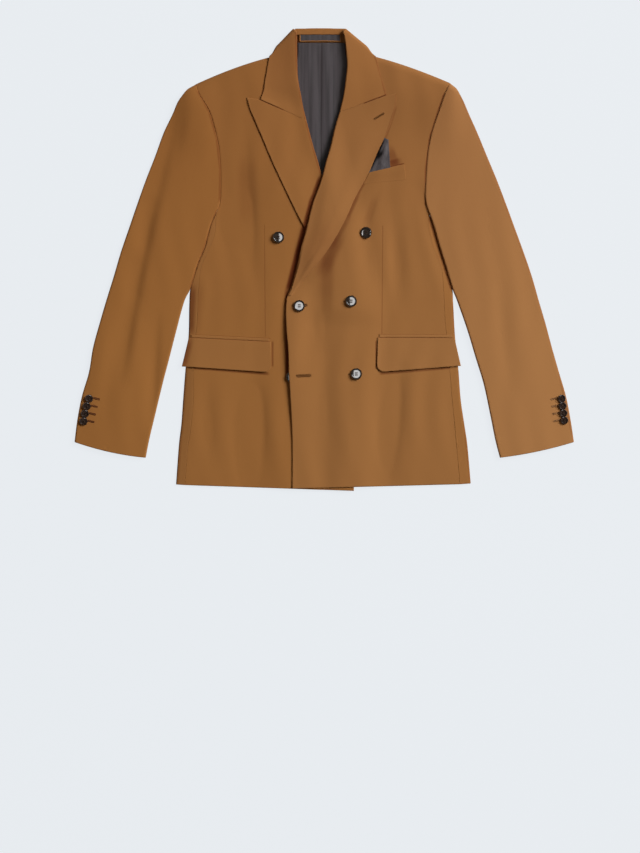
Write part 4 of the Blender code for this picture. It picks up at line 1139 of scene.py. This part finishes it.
# The sleeves are lit and shaded copies of one wool: the right one, away from the key light, is darker and
# less blue, the left one lighter and bluer: painted light and shade
for wearer_side, tone, warmth in (("right", 0.90, 0.7), ("left", 1.06, -1.4)):
    sleeve = Sleeve(wearer_side)
    grain = 0.30 * OUTWARD[wearer_side]
    node = f"sleeve_{wearer_side}_top"
    cloth = wool(f"wool_{node}", tone, SLEEVE_SHADE[wearer_side], warmth, grain)
    lay_cloth(
        node, sleeve.points(), cloth, rounding=0.9,
        flat=(0.24, 0.66), held="folded", rests_on=["table_top"], area=0.102,
    )
    node = f"sleeve_{wearer_side}_under"
    cloth = wool(f"wool_{node}", tone, (), warmth, grain)
    lay_cloth(
        node, sleeve.under_points(), cloth, rounding=0.8,
        flat=(0.17, 0.62), held="laid", rests_on=["table_top"], area=0.065,
    )

# ------------------------------------------------------------------------------------------------
# Hip pockets: each has a jet, a narrow folded strip sewn along the cut, and a flap of two layers of
# wool that hangs from it. The flap's front corner is rounded, and its lower edge stands off a little.
FLAP_WALL = 2.0
JET_WALL = 1.0
JET_DEPTH = 5.0
FLAP_CORNER = 13.0
# Ends of the pocket's seam and of the flap's lower edge: the outer end, and then the front one
FLAP_TOP = {"right": (-233, -134, -92, -141), "left": (224, -134.5, 92, -134)}
FLAP_FOOT = {"right": (-245, -184, -91, -194.5), "left": (235, -183, 91, -194)}
# Painted shade at the right flap's outer end, beside the body's edge: start, end, width and depth
FLAP_SHADE = {"right": [(-236, -136, -247, -186, 15, 0.6)], "left": []}


def pocket_seat(side, x, y):
    """Height of the cloth that a pocket's pieces lie on."""
    edge = read(BODY_EDGE, side, y) - OUTWARD[side] * 3
    return front_top(side, np.minimum(x, edge) if side == "left" else np.maximum(x, edge), y) + REST_GAP


def flap_points(side):
    """Points of a flap, from its outer end to its front one and from the jet down."""
    ax, ay, bx, by = FLAP_TOP[side]
    cx, cy, dx, dy = FLAP_FOOT[side]
    corner = np.array([0.0, 0.12, 0.4, 0.9, 1.8, 3.0, 4.6, 6.6, 9.2, 13.0])
    across, down = spread(44, 150.0, high_rim=corner), spread(20, 52.0)[:, None]
    low_x, low_y = mix(cx, dx, across), mix(cy, dy, across)
    reach = np.maximum(FLAP_CORNER - np.abs(dx - low_x), 0.0)
    low_y = low_y + FLAP_CORNER - np.sqrt(FLAP_CORNER ** 2 - reach ** 2)
    x, y = mix(mix(ax, bx, across), low_x, down), mix(mix(ay, by, across), low_y, down)
    stand = 1.0 * down ** 2 + 0.35 * np.sin(across * 9.0 + 1.0) * down ** 3
    return laid_wall(x, y, pocket_seat(side, x, y) + stand, FLAP_WALL)


def jet_points(side):
    """Points of the jet above a flap."""
    ax, ay, bx, by = FLAP_TOP[side]
    across = mix(0.03, 0.98, spread(40, 130.0))
    down = spread(5, JET_DEPTH, RIM[:4] * 0.6, RIM[:4] * 0.6)[:, None]
    x, y = mix(ax, bx, across) + 0 * down, mix(ay, by, across) + mix(JET_DEPTH, SEAM_GAP, down)
    return laid_wall(x, y, pocket_seat(side, x, y), JET_WALL)


# The right flap, away from the key light, is a little darker and less blue: painted shade
for wearer_side, tone, warmth in (("right", 0.89, -0.2), ("left", 0.92, -0.8)):
    node = f"flap_{wearer_side}"
    under_it = [f"front_{wearer_side}_cloth", f"side_panel_{wearer_side}_cloth"]
    # The line along the flap's top, under the jet, is seam and painted shade
    lines = [(*FLAP_TOP[wearer_side], 1.3, 0.5), *FLAP_SHADE[wearer_side]]
    lay_cloth(
        node, flap_points(wearer_side), wool(f"wool_{node}", tone, lines, warmth), rounding=1.5,
        flat=(0.155, 0.06), held="laid", rests_on=under_it, area=0.0082,
    )
    node = f"pocket_jet_{wearer_side}"
    lay_cloth(
        node, jet_points(wearer_side), wool(f"wool_{node}", tone, (), warmth), rounding=0.8,
        flat=(0.135, 0.01), held="laid", rests_on=under_it, area=0.00065,
    )

# ------------------------------------------------------------------------------------------------
# Breast pocket: a slanted welt on the left front, with a puffed square of lining cloth standing in it.
# Both run in under the lapel's edge.
WELT_WALL = 1.2
SQUARE_WALL = 0.9
# Corners of the welt and of the square, from the upper one by the lapel round to the lower one
WELT = (78.5, 151), (137, 164), (141, 137), (67.5, 130)
SQUARE = (101.5, 210), (110.5, 206), (113.5, 157.5), (76, 149)
# Painted shade on the square: along the lapel's edge, where it runs in under it, and down a fold: start,
# end, width and depth
SQUARE_SHADE = [(79, 158, 101, 206, 5.6, 0.98), (88.5, 172.5, 98, 187, 7, 0.98)]


def on_left_front(corners, across, down):
    """Places on the left front between four corners, and their heights."""
    (x0, y0), (x1, y1), (x2, y2), (x3, y3) = corners
    x = mix(mix(x0, x1, across), mix(x3, x2, across), down)
    y = mix(mix(y0, y1, across), mix(y3, y2, across), down)
    return x, y, front_top("left", x, y) + REST_GAP


def welt_points():
    """Points of the welt, whose upper edge stands off the front and whose foot is sewn down to it."""
    down = spread(14, 26.0)[:, None]
    x, y, z = on_left_front(WELT, spread(26, 58.0), down)
    return laid_wall(x, y, z - mix(0.3, 1.5, smooth(0.1, 0.9, down)), WELT_WALL)


def square_points():
    """Points of the square, which puffs up towards its tip and is crumpled above the welt."""
    across, down = spread(26, 26.0, RIM[:4], RIM[:4]), spread(40, 52.0, RIM[:4], RIM[:4])[:, None]
    x, y, z = on_left_front(SQUARE, across, down)
    crumple = 0.7 * np.sin(across * 11.0 + 2.2 * down) * smooth(0.05, 0.4, down)
    crumple = crumple + 0.35 * np.exp(-(((across - 0.62 + 0.3 * down) / 0.13) ** 2)) * smooth(0, 0.3, down)
    tucked = smooth(0.0, 0.3, across - 0.15 * down) * (1 - smooth(0.85, 1.0, down))
    return laid_wall(x, y, z + (crumple + 0.7) * tucked, SQUARE_WALL)


lay_cloth(
    "breast_welt", welt_points(), wool("wool_welt", 0.90, warmth=-0.4), foot=0.1, end=0.3, start=0.1,
    flat=(0.059, 0.027), held="laid", rests_on=["front_left_cloth"],
)
square_twill = lining_cloth("square_twill", (0.098, 0.087, 0.092), (170.0, 60.0, 6.0), 0.08, SQUARE_SHADE)
lay_cloth(
    "pocket_square", square_points(), square_twill, slot="lining", rounding=0.6,
    flat=(0.03, 0.055), held="laid", rests_on=["front_left_cloth"], area=0.00105,
)

# ------------------------------------------------------------------------------------------------
# Buttonholes: a slit worked over with close stitches of thread. One is in the left lapel, two are down
# the left front's edge, and four tone on tone are by each cuff's buttons.
STITCH_SPACING = 0.5
THREAD_RADIUS = 0.27
THREAD_LIFT = 0.15
BUTTONHOLES = {
    "lapel_buttonhole": ((86.0, 240.8), (102.5, 251.2), LAPEL_REST, 0.9),
    "front_buttonhole_upper": ((-52.0, -79.5), (-29.5, -78.5), 0.0, 1.3),
    "front_buttonhole_lower": ((-47.5, -200.3), (-23.0, -199.2), 0.0, 1.3),
}
CUFF_BUTTONS = {
    "right": ((-404, -239), (-408, -252), (-411, -265), (-413.5, -278)),
    "left": ((408, -239), (409.5, -251.5), (411, -264), (412.5, -276.5)),
}


def stitcher():
    """Geometry Nodes that lay stitches side by side across a line, each a little uneven."""
    group = bpy.data.node_groups.new("buttonhole_stitches", "GeometryNodeTree")
    inputs = {
        "Line": "Geometry", "Spacing": "Float", "Stitch Length": "Float", "Thread Radius": "Float",
        "Seed": "Int", "Thread": "Material",
    }
    for label, kind in inputs.items():
        group.interface.new_socket(label, in_out="INPUT", socket_type="NodeSocket" + kind)
    group.interface.new_socket("Stitches", in_out="OUTPUT", socket_type="NodeSocketGeometry")
    given = group.nodes.new("NodeGroupInput").outputs

    def step(kind, settings=None, **sockets):
        made = group.nodes.new(kind)
        for setting, value in (settings or {}).items():
            setattr(made, setting, value)
        for label, value in sockets.items():
            socket = made.inputs[label.replace("_", " ")]
            if isinstance(value, bpy.types.NodeSocket):
                group.links.new(value, socket)
            else:
                socket.default_value = value
        return made.outputs[0]

    line = step("GeometryNodeMeshToCurve", Mesh=given["Line"])
    spaced = step("GeometryNodeResampleCurve", {"mode": "LENGTH"}, Curve=line, Length=given["Spacing"])
    bar = step(
        "GeometryNodeMeshCylinder", Vertices=6, Radius=given["Thread Radius"], Depth=given["Stitch Length"],
    )
    laid = step("GeometryNodeTransform", Geometry=bar, Rotation=(math.pi / 2, 0.0, 0.0))
    tangent = step("GeometryNodeInputTangent")
    turned = step("FunctionNodeAlignRotationToVector", {"axis": "X", "pivot_axis": "Z"}, Vector=tangent)
    uneven = step(
        "FunctionNodeRandomValue", {"data_type": "FLOAT_VECTOR"}, Min=(0.95, 0.82, 0.9),
        Max=(1.1, 1.12, 1.15), Seed=given["Seed"],
    )
    copies = step(
        "GeometryNodeInstanceOnPoints", Points=spaced, Instance=laid, Rotation=turned, Scale=uneven,
    )
    real = step("GeometryNodeSetShadeSmooth", Geometry=step("GeometryNodeRealizeInstances", Geometry=copies))
    threaded = step("GeometryNodeSetMaterial", Geometry=real, Material=given["Thread"])
    group.links.new(threaded, group.nodes.new("NodeGroupOutput").inputs[0])
    return group


STITCHER = stitcher()


def thread(name, base):
    """Twisted silk thread."""
    made = Finish(name, Roughness=0.75, Specular_IOR_Level=0.15)
    twist = made.twill(made.place(), {"Scale": 900.0})
    made.colour(0.75 + twist * 0.25, (0.0, 0.0, 0.0), base)
    return made.material


def worked_hole(name, start, end, height_at, half_width, finish, seed):
    """Work one buttonhole from start to end, on a surface whose height is known."""
    start, end = np.array(start, float), np.array(end, float)
    length = np.linalg.norm(end - start)
    along = (end - start) / length
    side = np.array([-along[1], along[0]])
    turn = np.linspace(-math.pi / 2, math.pi / 2, 9)
    cap = np.stack([np.cos(turn), np.sin(turn)], axis=1) * half_width
    reach = (length / 2 - half_width, 0)
    places = np.concatenate([cap + reach, -cap - reach])
    ring = (start + end) / 2 + places[:, :1] * along + places[:, 1:] * side
    points = [(x * MM, y * MM, (float(height_at(x, y)) + THREAD_LIFT) * MM) for x, y in ring]
    loop = bpy.data.meshes.new(name + "_line")
    loop.from_pydata(points, [(k, (k + 1) % len(points)) for k in range(len(points))], [])
    guide = add_object(name + "_line", loop)
    work = guide.modifiers.new("stitches", "NODES")
    work.node_group = STITCHER
    wanted = {
        "Spacing": STITCH_SPACING * MM, "Stitch Length": half_width * 2.0 * MM,
        "Thread Radius": THREAD_RADIUS * MM, "Seed": seed, "Thread": finish,
    }
    for socket in STITCHER.interface.items_tree:
        if socket.name in wanted:
            work[socket.identifier] = wanted[socket.name]
    sew_in(name, settled(guide), finish, "wool")


def cuff_height(side, x, y):
    """Height of a sleeve's outer side near its cuff."""
    inner_x = read(SLEEVE_INNER, side, y + (CUFF_INNER - CUFF_OUTER))
    outer_x = read(SLEEVE_OUTER, side, y)
    share = np.clip((x - inner_x) / (outer_x - inner_x), 0.0, 1.0)
    return SLEEVE_EDGE + SLEEVE_CROWN * np.sin(np.pi * share) + waves(SLEEVE_FOLDS, x, y)


dark_thread = thread("dark_thread", (0.05, 0.03, 0.02))
brown_thread = thread("brown_thread", (0.20, 0.082, 0.022))
cuff_thread = {
    "right": thread("cuff_thread_right", (0.18, 0.062, 0.018)),
    "left": thread("cuff_thread_left", (0.34, 0.165, 0.065)),
}
for seed, (name, (start, end, rise, half_width)) in enumerate(BUTTONHOLES.items(), start=1):
    worked_hole(
        name, start, end, lambda x, y: front_top("left", x, y) + rise, half_width, brown_thread, seed,
    )
for wearer_side in ("right", "left"):
    out = OUTWARD[wearer_side]
    for number, (x, y) in enumerate(CUFF_BUTTONS[wearer_side], start=1):
        worked_hole(
            f"cuff_buttonhole_{wearer_side}_{number}", (x - out * 7.0, y + 1.0), (x - out * 18.0, y - 1.5),
            lambda px, py: cuff_height(wearer_side, px, py), 0.9, cuff_thread[wearer_side], 10 + number,
        )

# ------------------------------------------------------------------------------------------------
# Buttons: dark horn with a dished face and four holes, sewn on through the holes. The front has three
# pairs, of which the lowest right one is mostly under the left front. Each cuff has four that overlap.
FRONT_RADIUS = 10.0
CUFF_RADIUS = 6.9
CUFF_THICKNESS = 3.0
CUFF_LEAN = 9.0
CUFF_OVERLAP = 0.6
HOLE_PLACE = 0.17
HOLE_RADIUS = 0.085
STRAND_RADIUS = 0.05
# Each front button's cloth, place, thickness and lean
FRONT_BUTTONS = (
    ("right", -79, 38, 3.8, 1.2, 4.1), ("left", 72, 46, 3.8, 1, -5.4), ("left", -43, -80, 3.8, 0, 0.3),
    ("left", 46, -72, 3.8, 0.2, 2), ("left", 55, -197, 3.8, -1, 1.2), ("right", -56, -202, 3.2, 0, 2.4),
)
# A button's section from the middle of its face round to its back, in shares of radius and thickness
DISH = (
    (0.0, 0.60), (0.12, 0.60), (0.3, 0.604), (0.5, 0.614), (0.62, 0.6235), (0.69, 0.63), (0.71, 0.74),
    (0.73, 0.88), (0.745, 0.985), (0.83, 0.955), (0.92, 0.92), (0.95, 0.84), (0.98, 0.71), (1.0, 0.56),
    (0.98, 0.36), (0.9, 0.14), (0.75, 0.03), (0.5, 0.0), (0.0, 0.0),
)


def turned_button(radius, thickness, sides=40):
    """Turn a dished button and drill its four holes. Returns its mesh, standing on z 0."""
    turns = np.linspace(0, 2 * math.pi, sides, endpoint=False)
    points = [(0.0, 0.0, DISH[0][1] * thickness)]
    for out, up in DISH[1:-1]:
        reach = out * radius
        points += [(reach * math.cos(turn), reach * math.sin(turn), up * thickness) for turn in turns]
    points.append((0.0, 0.0, 0.0))
    last, foot = len(points) - 1, len(points) - 1 - sides
    pairs = [(k, (k + 1) % sides) for k in range(sides)]
    faces = [(0, 1 + k, 1 + after) for k, after in pairs]
    for ring in range(1, foot, sides):
        faces += [(ring + k, ring + sides + k, ring + sides + after, ring + after) for k, after in pairs]
    faces += [(last, foot + after, foot + k) for k, after in pairs]
    blank_mesh = bpy.data.meshes.new("button_blank")
    blank_mesh.from_pydata(points, [], faces)
    drill = bmesh.new()
    for dx, dy in ((1, 1), (1, -1), (-1, 1), (-1, -1)):
        bit = bmesh.ops.create_cone(
            drill, cap_ends=True, segments=12, radius1=radius * HOLE_RADIUS, radius2=radius * HOLE_RADIUS,
            depth=thickness * 3,
        )
        shift = (dx * radius * HOLE_PLACE, dy * radius * HOLE_PLACE, 0)
        bmesh.ops.translate(drill, verts=bit["verts"], vec=shift)
    drill_mesh = bpy.data.meshes.new("drills")
    drill.to_mesh(drill_mesh)
    drill.free()
    blank, drills = add_object("button_blank", blank_mesh), add_object("drills", drill_mesh)
    drilled = blank.modifiers.new("holes", "BOOLEAN")
    drilled.object, drilled.operation, drilled.solver = drills, "DIFFERENCE", "EXACT"
    made = settled(blank, drills)
    made.shade_smooth()
    made.set_sharp_from_angle(angle=math.radians(30))
    return made


def horn(name, dark, light, polish):
    """Polished dark horn with faint lighter streaks."""
    made = Finish(
        name, Roughness=0.25, Coat_Weight=polish, Coat_Roughness=0.04, Coat_IOR=2.2, Specular_IOR_Level=0.12,
    )
    streaks = made.noise(made.place(0.6), (90.0, 420.0, 90.0), 3.0)
    made.colour(streaks.ease(0.35, 0.75), dark, light)
    return made.material


front_horn = horn("front_horn", (0.004, 0.003, 0.003), (0.030, 0.021, 0.016), 1.0)
cuff_horn = horn("cuff_horn", (0.020, 0.012, 0.009), (0.060, 0.036, 0.028), 0.35)


def highest_under(height_at, x, y, reach):
    """Highest point of the cloth under a round button."""
    turns = np.linspace(0, 2 * math.pi, 9)[:-1]
    return float(np.max(height_at(x + reach * np.cos(turns), y + reach * np.sin(turns))))


def sew_on(name, blank, finish, place, radius, thickness, lean_x, lean_y=0.0):
    """Set a button at its place, leaning as its thread lets it, with the thread over its holes."""
    seat = (
        Matrix.Translation([part * MM for part in place])
        @ Matrix.Rotation(math.radians(lean_y), 4, "Y") @ Matrix.Rotation(math.radians(lean_x), 4, "X")
        @ Matrix.Scale(MM, 4)
    )
    mesh = blank.copy()
    mesh.transform(seat)
    sew_in(name + "_horn", mesh, finish, "button", name)
    hole, face = radius * HOLE_PLACE, thickness * DISH[0][1]
    half = [(0.0, face + 0.45), (hole * 0.8, face + 0.3), (hole, face - 0.2), (hole, 0.4)]
    strand = [(-x, z) for x, z in half[:0:-1]] + half
    starts = [side * hole + shift * radius for side in (-1, 1) for shift in (-0.06, 0.06)]
    strands = [[(x, y, z) for x, z in strand] for y in starts]
    mesh = cord_mesh(name + "_thread", strands, radius * STRAND_RADIUS, resolution=1, unit=1.0)
    mesh.transform(seat)
    sew_in(name + "_thread", mesh, dark_thread, "button")


front_blanks = {size: turned_button(FRONT_RADIUS, size) for size in (3.8, 3.2)}
for number, (side, x, y, thickness, *lean) in enumerate(FRONT_BUTTONS, start=1):
    z = highest_under(lambda px, py: front_top(side, px, py), x, y, FRONT_RADIUS * 0.8) + REST_GAP
    blank = front_blanks[thickness]
    sew_on(f"front_button_{number}", blank, front_horn, (x, y, z), FRONT_RADIUS, thickness, *lean)
cuff_blank = turned_button(CUFF_RADIUS, CUFF_THICKNESS)
for side in ("left", "right"):
    for number, (x, y) in enumerate(CUFF_BUTTONS[side], start=1):
        z = highest_under(lambda px, py: cuff_height(side, px, py), x, y, CUFF_RADIUS * 0.6) + REST_GAP
        sew_on(
            f"cuff_button_{side}_{number}", cuff_blank, cuff_horn, (x, y, z + CUFF_OVERLAP), CUFF_RADIUS,
            CUFF_THICKNESS, CUFF_LEAN,
        )
